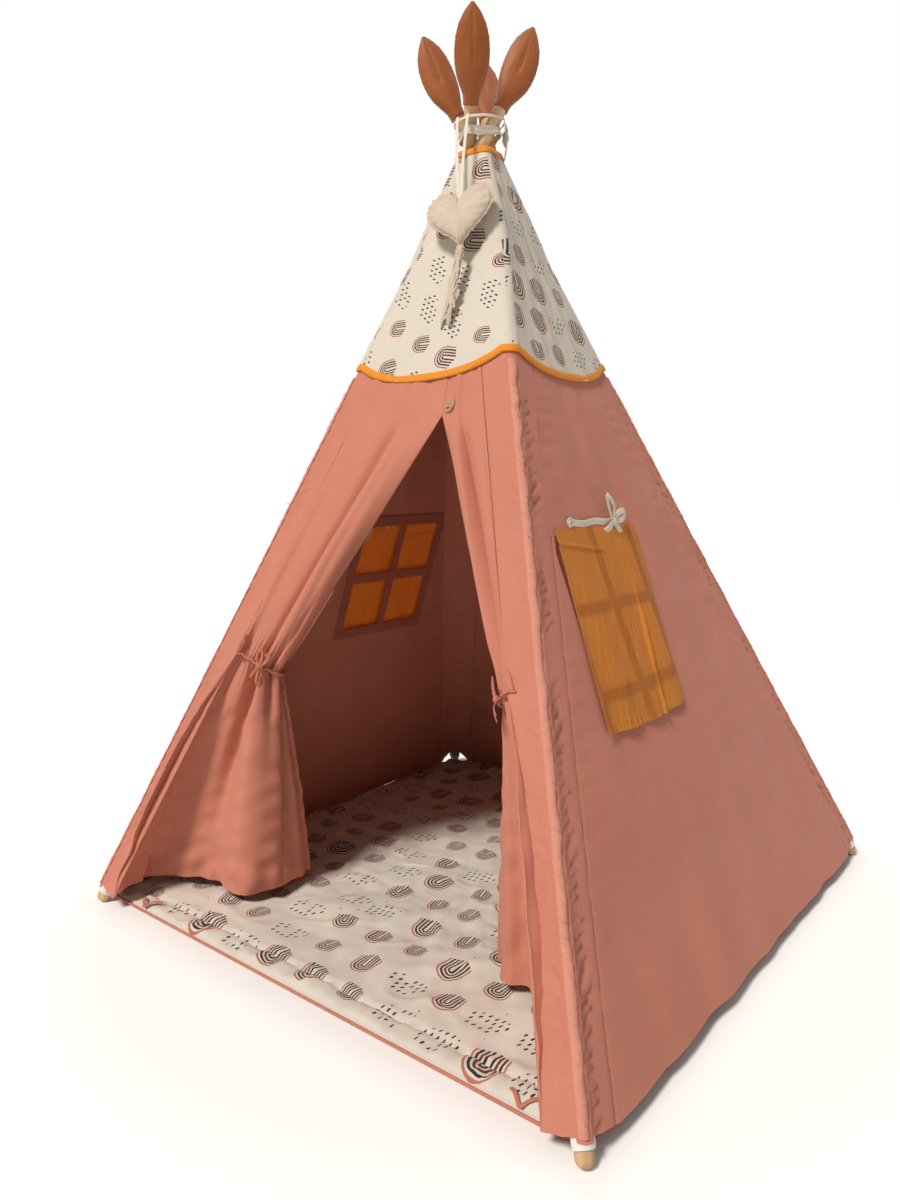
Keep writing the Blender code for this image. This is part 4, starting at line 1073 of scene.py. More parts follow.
# %% Raise the corner seams
seam_low, seam_top, ruffle_pitch = hem_height + 0.006, cap_corner - 0.012, 0.0135
for number, (corner, (first, _)) in enumerate(CORNER_SIDES.items()):
    chance = np.random.default_rng(90 + number)
    z = np.arange(seam_low, seam_top, 0.0019)[:, None] * np.ones((1, 9))
    t = np.linspace(0, 1, 9)[None, :] * np.ones((len(z), 1))
    wander = soft_waves(z * 0, z, 0.05, 70 + number) * 0.05
    share = 0.24 + 0.42 * t + wander * (0.4 + 0.6 * t)
    uneven = 0.6 * soft_waves(z * 0, z, 0.06, 75)
    ruffle = np.abs(np.sin(math.pi * (slope(z) / ruffle_pitch + 0.9 * t + uneven))) ** 0.7
    ruffle = ruffle * np.clip(0.8 + 0.4 * soft_waves(z * 0, z, 0.08, 76), 0.3, 1.3)
    lump = soft_waves(z * 0, z, 0.017, 80 + number)
    stand = 1 if corner == "front_right" else 0.45
    ridge = (0.0012 + (0.0026 * ruffle + 0.0008 * lump) * stand) * np.sin(math.pi * t) ** 0.6
    points = round_pole(first, share, cloth + 0.0007 + ridge, z)
    # The seam's lighter cotton is painted light, for the light along the pole's front.
    seam = cloth_piece(f"seam_{corner}", points, seam_cloth, thickness=0.0016)
    ends = []
    for _ in range(7):
        root = points[chance.integers(8, len(z) - 8), 5]
        away = np.array([root[0], root[1], 0]) / math.hypot(root[0], root[1])
        way = [chance.uniform(-0.6, 0.6), chance.uniform(-0.6, 0.6), chance.uniform(-1, 0.4)]
        tip = root + unit(away + np.array(way)) * chance.uniform(0.004, 0.008)
        knots = [root - away * 0.001, (root + tip) / 2 + away * 0.0008, tip]
        ends.append(strip(knots, 0.0012, 0.0009, up_way, 5))
    threads = strips_piece(f"seam_threads_{corner}", ends, seam_cloth)
    ride_on(seam, f"pole_{corner}", "terracotta_cotton", f"corner_seam_{corner}")
    ride_on(threads, f"pole_{corner}", "terracotta_cotton")
print("four seams raised")

# %% [markdown]
# ## The door flaps
#
# Both flaps start under the cap as flat cloth and meet at a seam, which opens into the slit. Each is
# then gathered at a tie half-way down its pole, so the cloth runs in pleats that fan out from the tie.
# Below the tie it springs open again into two or three deep folds. The cloth is drawn as one grid
# above the tie, which bends with the cover and the pole, and one below it, which swings.

# %% Lines of a flap
slit_height, tie_height, tail_hem = cap_low - 0.065, 0.5, 0.034
FLAPS = {
    "left": (
        -1,
        ((-0.780, -0.977), (-0.722, -0.950), (-0.680, -0.912), (-0.672, -0.868)),
        ((-0.905, -0.850), (-0.712, -0.722), (-0.548, -0.742), (-0.470, -0.630), (-0.482, -0.460)),
    ),
    "right": (
        1,
        ((0.846, -0.966), (0.802, -0.926), (0.772, -0.888), (0.756, -0.850)),
        ((0.880, -0.880), (0.700, -0.702), (0.586, -0.592), (0.516, -0.612), (0.412, -0.505)),
    ),
}


def stitch_at(hand, height):
    """The middle of the cloth on a flap's stitch line."""
    return on_side("front", hand * (square_at(height)[0] - casing), cloth / 2, height)


def seam_at(hand, height):
    """Where the two flaps meet above the slit."""
    return on_side("front", middle_of("front", height) + hand * 0.0005, cloth / 2, height)


def outer_half(height):
    return square_at(height)[0] + reach / math.cos(lean)


def tie_curve(hand, shares, count):
    start = stitch_at(hand, tie_height)
    axis = unit(stitch_at(hand, slit_height) - stitch_at(hand, hem_height))
    half, knots = outer_half(tie_height), [start]
    for x, y in shares:
        flat = np.array([x * half - start[0], y * half - start[1], 0])
        knots.append(start + flat - np.array([0, 0, flat @ axis / axis[2]]))
    return curve_through(knots, count)


def pleats(s, drift):
    """The pleats across a flap, from its stitch line (0) to its free edge (1)."""
    phase = 3.4 * s**0.9 + 0.22 * np.sin(7.3 * s + 1.1) + drift
    return (np.sin(2 * math.pi * phase) + 0.25 * np.sin(4 * math.pi * phase + 0.8)) * smooth(s / 0.09)


def fine_pleats(across, down, seed):
    """The fifteen narrow creases that the tie presses into a flap."""
    return np.sin(2 * math.pi * 15 * across + 1.5 * soft_waves(across * 0.1, down * 0.3, 0.1, seed + 5))


def free_edge(points, radius):
    """Adds the rolled free edge of a flap after its last column."""
    normals = grid_normals(points, outward)
    across = unit(points[:, -1] - points[:, -3])
    angle = np.radians(np.linspace(0, 200, 10)[1:])
    radius = np.broadcast_to(radius, points.shape[:1])[:, None, None]
    roll = across[:, None] * np.sin(angle)[None, :, None]
    roll = roll - normals[:, -1:, :] * (1 - np.cos(angle))[None, :, None]
    return np.concatenate([points, points[:, -1:] + radius * roll], axis=1)


# %% Gather the two flaps
columns, yoke_rows = 150, 42
s = np.linspace(0, 1, columns)
tie_pleat, fine_pleat, outward = 0.0070, 0.0011, np.array([0, -1, 0.35])
DRAPE_NODES = {"left": ("left_door_drape", "front_yoke"), "right": ("right_door_drape",)}
flap_bundles = {}
for side, (hand, tie_shares, hem_shares) in FLAPS.items():
    seed = 200 + 10 * hand
    tie = tie_curve(hand, tie_shares, columns)
    high = np.linspace(cover_top, slit_height, yoke_rows, endpoint=False)
    starts, ends = stitch_at(hand, high), seam_at(hand, high)
    yoke = starts[:, None] * (1 - s[None, :, None]) + ends[:, None] * s[None, :, None]
    start, end = stitch_at(hand, slit_height), seam_at(hand, slit_height)
    top = start[None] * (1 - s[:, None]) + end[None] * s[:, None]
    g = np.linspace(0, 1, 100)
    low = top[None] * (1 - g[:, None, None]) + tie[None] * g[:, None, None]
    sheet = np.concatenate([yoke, low], axis=0)
    down = np.concatenate([np.linspace(-0.55, 0, yoke_rows, endpoint=False), g])[:, None]
    across = s[None, :] * np.ones((len(down), 1))
    below_slit = np.clip(down, 0, 1)
    # The spare cloth at the free edge rolls outwards into one broad band from the slit to the tie.
    swell = 0.35 + 0.65 * np.sin(math.pi * np.clip(below_slit * 0.94, 0, 1)) ** 0.8
    swell = smooth(below_slit / 0.12) * swell
    start_of_band = 0.60 - 0.06 * below_slit
    in_band = np.clip((across - start_of_band) / (1 - start_of_band), 0, 1)
    band = np.sin(math.pi * in_band**0.62) ** 0.85
    second = bell(in_band - 0.62, 0.07) * smooth((below_slit - 0.62) / 0.25)
    valley = bell(across - start_of_band + 0.03, 0.07)
    drift = 0.05 * soft_waves(across * 0.05, down * 0.4, 0.5, seed)
    near_tie = smooth((below_slit - 0.80) / 0.20)
    wave = (0.0009 * smooth((down + 0.42) / 0.25) + tie_pleat * near_tie**1.4) * pleats(across, drift)
    wave = wave + (0.0165 * band - 0.0085 * valley - 0.0055 * second) * swell * (1 - 0.8 * near_tie)
    soft = soft_waves(across * 0.30, down * 0.22, 0.11, seed + 3)
    wave = wave + 0.0013 * soft * smooth((down + 0.4) / 0.2)
    wave = wave + fine_pleat * fine_pleats(across, down, seed) * smooth((below_slit - 0.84) / 0.16)
    normals = grid_normals(sheet, outward)
    edge_radius = 0.0004 + (0.0014 + 0.0022 * below_slit[:, 0]) * swell[:, 0]
    points = free_edge(sheet + normals * wave[..., None], edge_radius)
    local_half, local_turn = square_at(points[..., 2])
    local_x = points[..., 0] * np.cos(local_turn) + points[..., 1] * np.sin(local_turn)
    local_x = np.clip(local_x * hand, None, local_half) * hand
    share_of_fold = fold_weight("front", hand, local_x, points[..., 2])
    above = smooth((points[..., 2] - tie_height) / (slit_height - tie_height))
    weights = 1 - (1 - share_of_fold**0.8) * above
    drape = cloth_piece(f"{side}_flap_above_tie", points, terracotta_plain)
    hang_on(drape, f"front_{side}", weights, "terracotta_cotton", *DRAPE_NODES[side])
    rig.sheet(drape, **unfolded(points), held="gathered", rests_on=(f"{side}_tie_band",))
    flap_bundles[side] = (tie, normals[-1])

    hem_start = stitch_at(hand, tail_hem)
    half = outer_half(tail_hem)
    hem = curve_through([hem_start, *((x * half, y * half, tail_hem) for x, y in hem_shares)], columns)
    g = np.linspace(0, 1, 110)
    ease = (g + 0.10 * np.sin(math.pi * g))[:, None, None]
    sheet = tie[None] * (1 - ease) + hem[None] * ease
    sheet[..., 2] = tie[None, :, 2] * (1 - g[:, None]) + hem[None, :, 2] * g[:, None]
    down, across = g[:, None] * np.ones((1, columns)), s[None, :] * np.ones((len(g), 1))
    normals = grid_normals(sheet, outward)
    drift = 0.10 * soft_waves(across * 0.05, down * 0.35, 0.4, seed + 1) * down
    wave = (tie_pleat * (1 - smooth(down / 0.34)) + 0.0009) * pleats(across, drift)
    wave = wave + fine_pleat * fine_pleats(across, down, seed) * smooth(1 - down / 0.16)
    round_out = np.sin(math.pi * np.clip(down / 0.5, 0, 1)) ** 1.5
    wave = wave + 0.0040 * round_out * np.sin(math.pi * across) ** 0.7
    # A deep valley runs from the tie between the flat part by the pole and the round fold beside it.
    bottom = 0.47 - 0.06 * down if side == "left" else 0.46
    valley = bell(across - bottom, 0.05) * smooth(down / 0.06) * smooth((0.9 - down) / 0.5)
    wave = wave - 0.022 * valley + 0.006 * bell(across - bottom - 0.2, 0.1) * smooth(down / 0.1)
    broad = cycle(2.6 * across + 0.25 * np.sin(3 * down + hand))
    wave = wave + 0.0026 * broad * smooth(down / 0.6) * smooth(across / 0.15) * smooth((1 - across) / 0.1)
    rolled = bell(across - 0.975, 0.018) - 0.9 * bell(across - 0.925, 0.022)
    wave = wave + 0.0045 * rolled * smooth(down / 0.1)
    dents = soft_waves(across * 0.55, down * 0.42, 0.07, seed + 8) * smooth((down - 0.72) / 0.2)
    wave = wave + 0.0030 * dents * smooth((1.02 - across) / 0.1)
    wave = wave + 0.0013 * soft_waves(across * 0.26, down * 0.42, 0.05, seed + 2) * smooth(down / 0.3)
    points = sheet + normals * wave[..., None]
    points[..., 2] += np.clip(tail_hem - 0.0015 - points[..., 2], 0, None)
    points = free_edge(points, 0.0022)
    points[..., 2] = np.maximum(points[..., 2], tail_hem - 0.0015)
    hem_line = np.abs(points[..., 2] - tail_hem - hem_stitch)
    stitches = np.stack((hem_line, grid_metres(points)[..., 0]), axis=-1)
    tail = cloth_piece(f"{side}_flap_below_tie", points, terracotta, stitches=stitches)
    ride_on(tail, f"{side}_door_flap", "terracotta_cotton", f"{side}_door_tail")
    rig.sheet(tail, **unfolded(points), held="gathered", rests_on=(f"{side}_tie_band",))
    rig.squash(tail, FOLD, tuple(unit(hem[-1] - hem[0])), tuple(hem[0]), keep=0.3)
    print(side, "flap: tie", np.round(tie[0], 3), "to", np.round(tie[-1], 3))

# %% [markdown]
# ## Tie-backs
#
# A narrow cloth tie is sewn to each stitch line, goes round the gathered flap and ends in a loose bow
# with two thin loops and two short tails. It is drawn as a closed strip on a loop round the pleats.


# %% Parts of a bow
def bow_knot(knot, across, lift, width, depth, face, ends):
    """A short fat strip over the place where the loops meet."""
    return strip([knot - across, knot + lift, knot + across], width, depth, face, 9, ends)


def bow_loop(knot, way, sideways, face, length, belly, lifts, nose=0.0):
    """The path of a loop: out along one side, round its tip and back along the other."""
    half, tip = knot + way * length * 0.5, knot + way * length + face * lifts[1]
    path = [knot, half + sideways * belly + face * lifts[0], tip + sideways * 0.003, tip + way * nose]
    return [*path, tip - sideways * 0.003, half - sideways * belly + face * 0.003, knot]


def bow_tail(knot, way, face, length, lifts):
    return [knot, knot + way * length * 0.5 + face * lifts[0], knot + way * length + face * lifts[1]]


# %% Tie the flaps back
for side, (tie, normal) in flap_bundles.items():
    hand = FLAPS[side][0]
    axis = unit(stitch_at(hand, slit_height) - stitch_at(hand, hem_height))
    away = 0.0125
    front = tie[4:-2:6] + normal[4:-2:6] * away
    behind = (tie[4:-2:6] - normal[4:-2:6] * away)[::-1]
    round_end = tie[-1] + unit(tie[-1] - tie[-8]) * 0.0115
    round_start = tie[0] - unit(tie[8] - tie[0]) * 0.002
    loop = [round_start, *front, round_end, *behind, round_start + axis * 0.001]
    bands = [strip(loop, 0.0052, 0.0036, up_way, 90, 0.9, 0.10, 5)]
    bands[0] += (axis * 0.0012)[None, None] * np.sin(np.arange(90) * 0.9)[:, None, None]
    cord_end = stitch_at(hand, tie_height + 0.032) + normal[0] * 0.003
    knots = [front[0], (front[0] + cord_end) / 2 + normal[0] * 0.002, cord_end]
    bands.append(strip(knots, 0.006, 0.002, normal[0], 14))
    band = strips_piece(f"{side}_tie_band", bands, lining)

    face, along, up = unit(normal[columns // 2]), unit(tie[-1] - tie[0]), unit(axis)
    knot = tie[columns * (3 if side == "left" else 2) // 5] + face * (away + 0.0045)
    shapes = [bow_knot(knot, along * 0.006, face * 0.002, 0.011, 0.009, face, 0.5)]
    for spread, length in ((-0.35, 0.031), (0.25, 0.027)):
        way = up * math.cos(spread) + along * math.sin(spread)
        sideways = along * math.cos(spread) - up * math.sin(spread)
        path = bow_loop(knot, way, sideways, face, length, 0.0055, (0.006, 0.004), 0.001)
        shapes.append(strip(path, 0.0042, 0.0022, face, 34, 0.8))
    for spread, length in ((0.30, 0.034), (-0.20, 0.026)):
        way = -up * math.cos(spread) + along * math.sin(spread)
        path = bow_tail(knot, way, face, length, (0.006, 0.003))
        shapes.append(strip(path, 0.0050, 0.0018, face, 16, 0.75))
    bow = strips_piece(f"{side}_tie_ends", shapes, lining)
    ride_on(band, f"pole_front_{side}", "terracotta_cotton", f"{side}_tie_back")
    ride_on(bow, f"pole_front_{side}", "terracotta_cotton", f"{side}_tie_bow")
print("flaps tied back")

# %% [markdown]
# ## Windows, curtains and ribbons
#
# Each side wall has a square opening. A border and two crossed bars of the same cotton are sewn over
# it on the inside. Outside hangs a curtain of crinkled orange muslin, caught at its top seam under a
# cream ribbon. Muslin is thin, and the bars behind it block the light that would show through it, so
# the curtain is painted darker over them: painted shade. The distance to the nearest bar is kept in
# the stitch map, and the material darkens there.

# %% Frames over the openings
window_middle, window_half = (window_low + window_high) / 2, (window_high - window_low) / 2
for side, window_x in WINDOWS.items():
    stops, open_parts = [], []
    for middle, half_open in ((0, window_width / 2), (window_middle, window_half)):
        offsets = [-half_open - window_border, -half_open, -window_bar / 2]
        offsets += [-o for o in reversed(offsets)]
        at, opened = [middle + offsets[0]], []
        spans = zip(offsets, offsets[1:], (3, 9, 3, 9, 3), (0, 1, 0, 1, 0), strict=False)
        for low, high, parts, opening in spans:
            at += [middle + low + (high - low) * (i + 1) / parts for i in range(parts)]
            opened += [bool(opening)] * parts
        stops.append(np.array(at))
        open_parts.append(np.array(opened))
    z, x = np.meshgrid(stops[1], stops[0], indexing="ij")
    pane = open_parts[1][:, None] & open_parts[0][None, :]
    x_at = (window_x + x) * narrowed(z)
    points = on_side(side, x_at, -0.0014 + 0.0003 * soft_waves(x, z, 0.03, 5), z)
    # The frame's darker cotton is painted shade.
    window = cloth_piece(f"{side}_window_border", points, frame_cloth, holes=pane)
    weights = fold_weight(side, -1, x_at, z)
    hang_on(window, WINDOW_CORNERS[side], weights, "terracotta_cotton", f"{side}_window_frame")
print("window frames sewn")

# %% Muslin curtains and their ribbons
curtain_top, curtain_drop = window_high + 0.009, 0.321
CURTAIN_FOLD = {
    "right": ((-0.549, 0.820, -0.158), (0.122, -0.182, 0.035)),
    "left": ((0.573, -0.806, -0.148), (-0.116, 0.163, 0.030)),
}
CURTAINS = {"right": (0.026, 0.264), "left": (0.017, 0.282)}
bar_apart, ribbon_out, ribbon_up = 0.131, cloth + 0.0042, 0.008
for number, (side, window_x) in enumerate(WINDOWS.items()):
    shifted, curtain_width = CURTAINS[side]
    middle = window_x + shifted
    u, v = np.meshgrid(np.linspace(-0.5, 0.5, 130), np.linspace(0, 1, 150))
    x = middle + curtain_width * u - 0.036 * v
    z = curtain_top - curtain_drop * v * math.cos(lean)
    # Muslin crinkles along its length: fine sharp folds that wander and die out.
    wander = 0.006 * soft_waves(u * 0.25, v * 0.3, 0.15, 310 + number)
    fine = soft_waves((u * curtain_width + wander) * 7, v * 0.32, 0.05, 320 + number)
    folds = 0.5 + 0.5 * np.sin(2 * math.pi * (3.2 * u + 0.15 * np.sin(4 * v + number)) + 0.7)
    ridge = bell(u - 0.30 + 0.10 * v, 0.012) * smooth((v - 0.25) / 0.3)
    cross = bell(v - 0.07 - 0.12 * (u + 0.5), 0.010) * smooth((0.1 - u) / 0.2)
    out = 0.0006 + 0.0046 * folds * v**0.7 + 0.0007 * (fine + 1.2) * (0.3 + 0.7 * v)
    out = out + 0.0055 * ridge + 0.0026 * cross
    out = cloth + touch_gap + 0.0012 + np.maximum(out, 0)
    hem_bow = 0.006 * np.sin(math.pi * (u + 0.5)) * v**2
    points = on_side(side, x, out, z - hem_bow)
    # The distance to the nearest bar or the lower border, where painted shade darkens the curtain.
    from_bar = np.abs(x - window_x * narrowed(z))
    bar_x = np.minimum(from_bar, np.abs(from_bar - bar_apart))
    bar_z = np.minimum(np.abs(z - window_middle), np.abs(z - window_low + 0.011))
    bars = np.stack((np.minimum(bar_x, bar_z), v), axis=-1)
    curtain = cloth_piece(f"{side}_muslin_curtain", points, muslin, stitches=bars, thickness=0.0007)
    ride_on(curtain, f"{side}_curtain", "orange_muslin", f"{side}_window_curtain")
    corner = WINDOW_CORNERS[side]
    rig.sheet(curtain, flat=(curtain_width, curtain_drop), held="hung", rests_on=(f"cover_{corner}",))
    # When the poles fold, the wall swings inwards and the curtain crumples against it.
    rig.squash(curtain, FOLD, *CURTAIN_FOLD[side], keep=0.05)

    end, level = middle + curtain_width / 6, curtain_top + ribbon_up
    on_wall = on_side(side, end, 0, level)
    face = unit(on_side(side, end, 0.01, level) - on_wall)
    along = unit(on_wall - on_side(side, end - 0.02, 0, level))
    rise = unit(np.cross(face, along))
    rise = rise * np.sign(rise[2])
    places = [(end - 0.13, 0.003), (end - 0.09, -0.002), (end - 0.05, 0.001), (end - 0.01, -0.002)]
    path = [on_side(side, x, ribbon_out, level + dz) for x, dz in (*places, (end + 0.012, 0))]
    left_end, knot = path[0], path[-1] + face * 0.003
    moves = (along * 0.010, rise * 0.005, -along * 0.008, -rise * 0.007, along * 0.012 - rise * 0.002)
    eye = np.array([left_end + move for move in moves]) + face * 0.002
    shapes = [strip(path, 0.0110, 0.0015, face, 40, 0.9), strip(eye, 0.0050, 0.0014, face, 26)]
    band = strips_piece(f"{side}_ribbon_band", shapes, twill_tape)
    shapes = [bow_knot(knot, rise * 0.006, face * 0.002, 0.009, 0.007, face, 0.6)]
    for way, length in ((rise * 0.9 - along * 0.55, 0.048), (rise * 0.35 + along * 0.9, 0.036)):
        way = unit(way)
        path = bow_loop(knot, way, unit(np.cross(way, face)), face, length, 0.007, (0.005, 0.003))
        shapes.append(strip(path, 0.0100, 0.0013, face + rise * 0.3, 34, 0.8))
    for way, length in ((-rise * 0.85 + along * 0.80, 0.060), (-rise * 0.5 - along * 0.9, 0.038)):
        path = bow_tail(knot, unit(way), face, length, (0.004, 0.001))
        shapes.append(strip(path, 0.0120, 0.0012, face, 18, 0.95))
    bow = strips_piece(f"{side}_ribbon_bow", shapes, twill_tape)
    for piece, solid in ((band, f"{side}_window_ribbon"), (bow, f"{side}_window_bow")):
        spots = spots_of(piece)
        turn = SIDES[side] * math.pi / 2 + square_at(spots[:, 2])[1]
        local_x = spots[:, 0] * np.cos(turn) + spots[:, 1] * np.sin(turn)
        hang_on(piece, corner, fold_weight(side, -1, local_x, spots[:, 2]), "cream_ribbon", solid)
print("curtains hung")

# %% [markdown]
# ## The printed cap
#
# The cap is a second, short cover over the top of the first, cut from the printed cotton with a
# scalloped hem. It reaches about 0.4 m down each side, a millimetre or so clear of the cover.
# Both its edges are bound with orange bias tape, which is folded over the raw edge and stitched.

# %% Lines of the cap
cap_top = crossing_height - 0.006
cap_knee = crossing_height - 0.150
cap_top_inside = touch_gap - sleeve_radius + pole_radius


def cap_hem(share):
    return cap_corner - cap_scallop * (1 - np.abs(share) ** 2.4)


def cap_out(height):
    """The cap's inner face over the cover: it sinks in towards the bare poles above the knee."""
    rise = np.clip((height - cap_knee) / (cap_top - cap_knee), 0, 1)
    return cap_inside + (cap_top_inside - cap_inside) * rise


def round_corner(corner, rows, per_side=44):
    """A grid round one corner from rows of (height, outwards), each a function of the share."""
    first, second = CORNER_SIDES[corner]
    arcs = np.linspace(0, 1, 11)[1:-1]
    places = [(first, 1, f, None) for f in np.linspace(MIDDLE_SHARES[first], 1, per_side)]
    places += [(first, 1, 1.0, a) for a in arcs]
    places += [(second, -1, f, None) for f in np.linspace(-1, MIDDLE_SHARES[second], per_side)]
    points = np.empty((len(rows), len(places), 3))
    weights = np.ones((len(rows), len(places)))
    local = np.empty((len(rows), len(places), 2))
    for c, (side, hand, f, a) in enumerate(places):
        z = np.array([height(f) for height, _ in rows])
        x = f * square_at(z)[0]
        at = c / len(places) + SIDES[first]
        out = np.array([outwards(zi, at) for zi, (_, outwards) in zip(z, rows, strict=True)])
        if a is None:
            points[:, c] = on_side(side, x, out, z)
            weights[:, c] = fold_weight(side, hand, x, z)
        else:
            points[:, c] = round_pole(side, a, out, z)
        local[:, c] = np.stack((x + (a or 0) * round_width, slope(z)), axis=-1)
    return points, weights, local, per_side + len(arcs) // 2


# %% Hang the cap and bind its edges
cap_steps = np.linspace(0, 1, 90)


def cap_row(v):
    return lambda share: cap_hem(share) + (cap_top - cap_hem(share)) * v


def cap_puff(height, at):
    """The cap lies on the cover and lifts off a little in soft vertical waves."""
    wave = soft_waves(np.array(at) * 0.9, np.array(height) * 0.3, 0.11, 401)
    small = soft_waves(np.array(at) * 0.9, np.array(height), 0.03, 402)
    lift = 0.0010 + 0.0009 * wave + 0.0003 * small
    return float(cap_out(height) + cloth / 2 + max(lift, 0) * smooth((cap_top - height) / 0.12))


def bound(profile, edge_height):
    """Rows of a binding: offsets outwards and upwards from an edge of the cap."""

    def row(out, up):
        def outwards(z, at):
            return float(cap_out(z)) + out + 0.0003 * math.sin(at * 300)

        return lambda share: edge_height(share) + up, outwards

    return [row(out, up) for out, up in profile]


HEM_FOLD = ((0.0004, 0.007), (0.0002, 0.0005), (0.0014, -0.0012), (0.0034, 0.0), (0.0042, 0.004))
HEM_FOLD += ((0.0040, 0.008), (0.0030, 0.0108))
TOP_FOLD = ((0.0003, -0.007), (0.0003, -0.0006), (0.0012, 0.0012), (0.0034, 0.0004), (0.0042, -0.004))
TOP_FOLD += ((0.0040, -0.008), (0.0032, -0.0105))
BINDINGS = {
    "hem": (bound(HEM_FOLD, cap_hem), 44, 0.0010),
    "top": (bound(TOP_FOLD, lambda share: cap_top), 16, 0.0008),
}
for corner, sides in CORNER_SIDES.items():
    first_quarter = corner == "front_left"
    points, weights, local, break_at = round_corner(corner, [(cap_row(v), cap_puff) for v in cap_steps])
    # The print runs sideways on the front and back panels, and upright on the other two.
    sideways = np.stack((-local[..., 1], local[..., 0]), axis=-1)
    maps = [(sideways if side in ("front", "back") else local) + SIDES[side] * 0.537 for side in sides]
    cap = cloth_piece(f"cap_{corner}", points, cap_print, *maps, break_at)
    hang_on(cap, corner, weights, "printed_cotton", *(["cap"] if first_quarter else []))
    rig.sheet(cap, **unfolded(points), held="draped", rests_on=(f"cover_{corner}",))
    for edge, (rows, per_side, thickness) in BINDINGS.items():
        points, weights, _, _ = round_corner(corner, rows, per_side)
        tape = cloth_piece(f"cap_{edge}_tape_{corner}", points, binding_cloth, thickness=thickness)
        hang_on(tape, corner, weights, "orange_binding", *([f"cap_{edge}_binding"] if first_quarter else []))
print("cap and bindings on")

# %% [markdown]
# ## Foot loops
#
# A loop of white cotton webbing is sewn under the hem at each corner and goes round the pole's foot,
# so that the cover stays pulled down. It turns with its pole.


# %% Loop the webbing round the feet
def pole_frame(corner):
    """A pole's hinge point, its way up, the way its top moves as it folds, and the hinge's axis."""
    fold = joints[f"pole_fold_{corner}"]
    up, hinge_way = np.array(pole_up[corner]), np.array(fold["axis"])
    return np.array(fold["pos_m"]), up, np.cross(hinge_way, up), hinge_way


for corner in CORNERS:
    origin, up, ahead, hinge_way = pole_frame(corner)
    base = origin - up * origin[2] / up[2]
    turn, rows = np.linspace(0, 2 * math.pi, 48, endpoint=False), np.linspace(0, 1, 9)
    v, angle = np.meshgrid(rows, turn, indexing="ij")
    radius = 0.0137 + 0.0006 * np.sin(math.pi * v) + 0.0002 * np.sin(angle * 5 + v * 4)
    height = 0.0225 + 0.0130 * v + 0.0012 * np.sin(angle + 1)
    ring = ahead * (radius * np.cos(angle))[..., None] + hinge_way * (radius * np.sin(angle))[..., None]
    points = base + up * height[..., None] + ring
    loop = cloth_piece(f"foot_webbing_{corner}", points, webbing, thickness=0.0011, wrap=True)
    ride_on(loop, f"pole_{corner}", "white_webbing", f"foot_loop_{corner}")
print("feet looped")

# %% [markdown]
# ## The tie at the crossing
#
# A strip of the printed cotton is wound round the crossed poles and knotted at the back. Above it a
# narrow tape makes the loop that the pendant hangs from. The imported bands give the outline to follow,
# since it depends on how the four poles lie.


# %% Wind the crossing
def outline_of(node_name, count):
    """The outer outline of a packed band, as distances from the middle at even angles."""
    spots = spots_of(nodes[node_name])
    angle, radius = np.arctan2(spots[:, 1], spots[:, 0]), np.hypot(spots[:, 0], spots[:, 1])
    evenly = np.linspace(-math.pi, math.pi, count, endpoint=False)
    bins = np.floor((angle + math.pi) / (2 * math.pi) * 20).astype(int) % 20
    filled = [np.flatnonzero(bins == k) for k in range(20) if (bins == k).any()]
    outer = sorted((b[radius[b].argmax()] for b in filled), key=lambda k: angle[k])
    found = np.interp(evenly, angle[outer], radius[outer], period=2 * math.pi)
    return evenly, (np.roll(found, 2) + found + np.roll(found, -2)) / 3


def wound(name, node_name, low, width, material, slot_name, thickness, wrinkle, rows=11):
    angle, radius = outline_of(node_name, 96)
    v = np.linspace(0, 1, rows)[:, None]
    crush = 1 + wrinkle * np.sin(3 * angle + 5 * v) + wrinkle * 0.7 * np.sin(math.pi * 3 * v + 2 * angle)
    out = (radius - thickness) * crush + wrinkle * 0.01 * np.sin(math.pi * v)
    height = crossing_height + low + width * v + 0.0015 * np.sin(2 * angle + 0.6)
    points = np.stack((out * np.cos(angle), out * np.sin(angle), height * np.ones_like(out)), axis=-1)
    band = cloth_piece(name, points, material, thickness=thickness, wrap=True)
    ride_on(band, "cover", slot_name, node_name)
    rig.squash(band, FOLD, (0, 0, 1), (0, 0, crossing_height), keep=0.97)


wound("crossing_wrap", "pole_tie", 0.018, 0.015, cap_print, "printed_cotton", 0.0014, 0.03)
wound("pendant_loop", "heart_loop", 0.044, 0.0045, twill_tape, "natural_linen", 0.0012, 0.008, 5)

bow_turn = math.radians(39)
face = np.array([math.cos(bow_turn), math.sin(bow_turn), 0])
along, rise = np.array([-face[1], face[0], 0]), up_way
knot = face * 0.046 + rise * (crossing_height + 0.022)
shapes = [bow_knot(knot, rise * 0.009, face * 0.003, 0.013, 0.011, face, 0.6)]
for sign in (-1, 1):
    way = along * sign
    tip = knot + way * 0.030 + rise * 0.006
    middle = knot + way * 0.016 + face * 0.004
    path = [knot, middle + rise * 0.010, tip + rise * 0.003, tip - rise * 0.004, middle - rise * 0.006]
    shapes.append(strip([*path, knot], 0.013, 0.002, face + rise * 0.3, 30, 0.8))
    path = [knot, knot + way * 0.010 - rise * 0.016 + face * 0.004, knot + way * 0.017 - rise * 0.034]
    shapes.append(strip(path, 0.014, 0.0018, face, 16, 0.95))
bow = strips_piece("crossing_bow", shapes, cap_print)
ride_on(bow, "cover", "printed_cotton", "pole_tie_bow")
print("crossing tied")

# %% [markdown]
# ## Leaf toppers
#
# A stuffed leaf of rust cotton is pushed over each pole's end. Each leaf is two cut shapes sewn
# together and turned, so it has a seam round its edge, a sewn vein down its middle and a little
# fullness either side. It is a loft of pinched ovals, wide across and thin through.

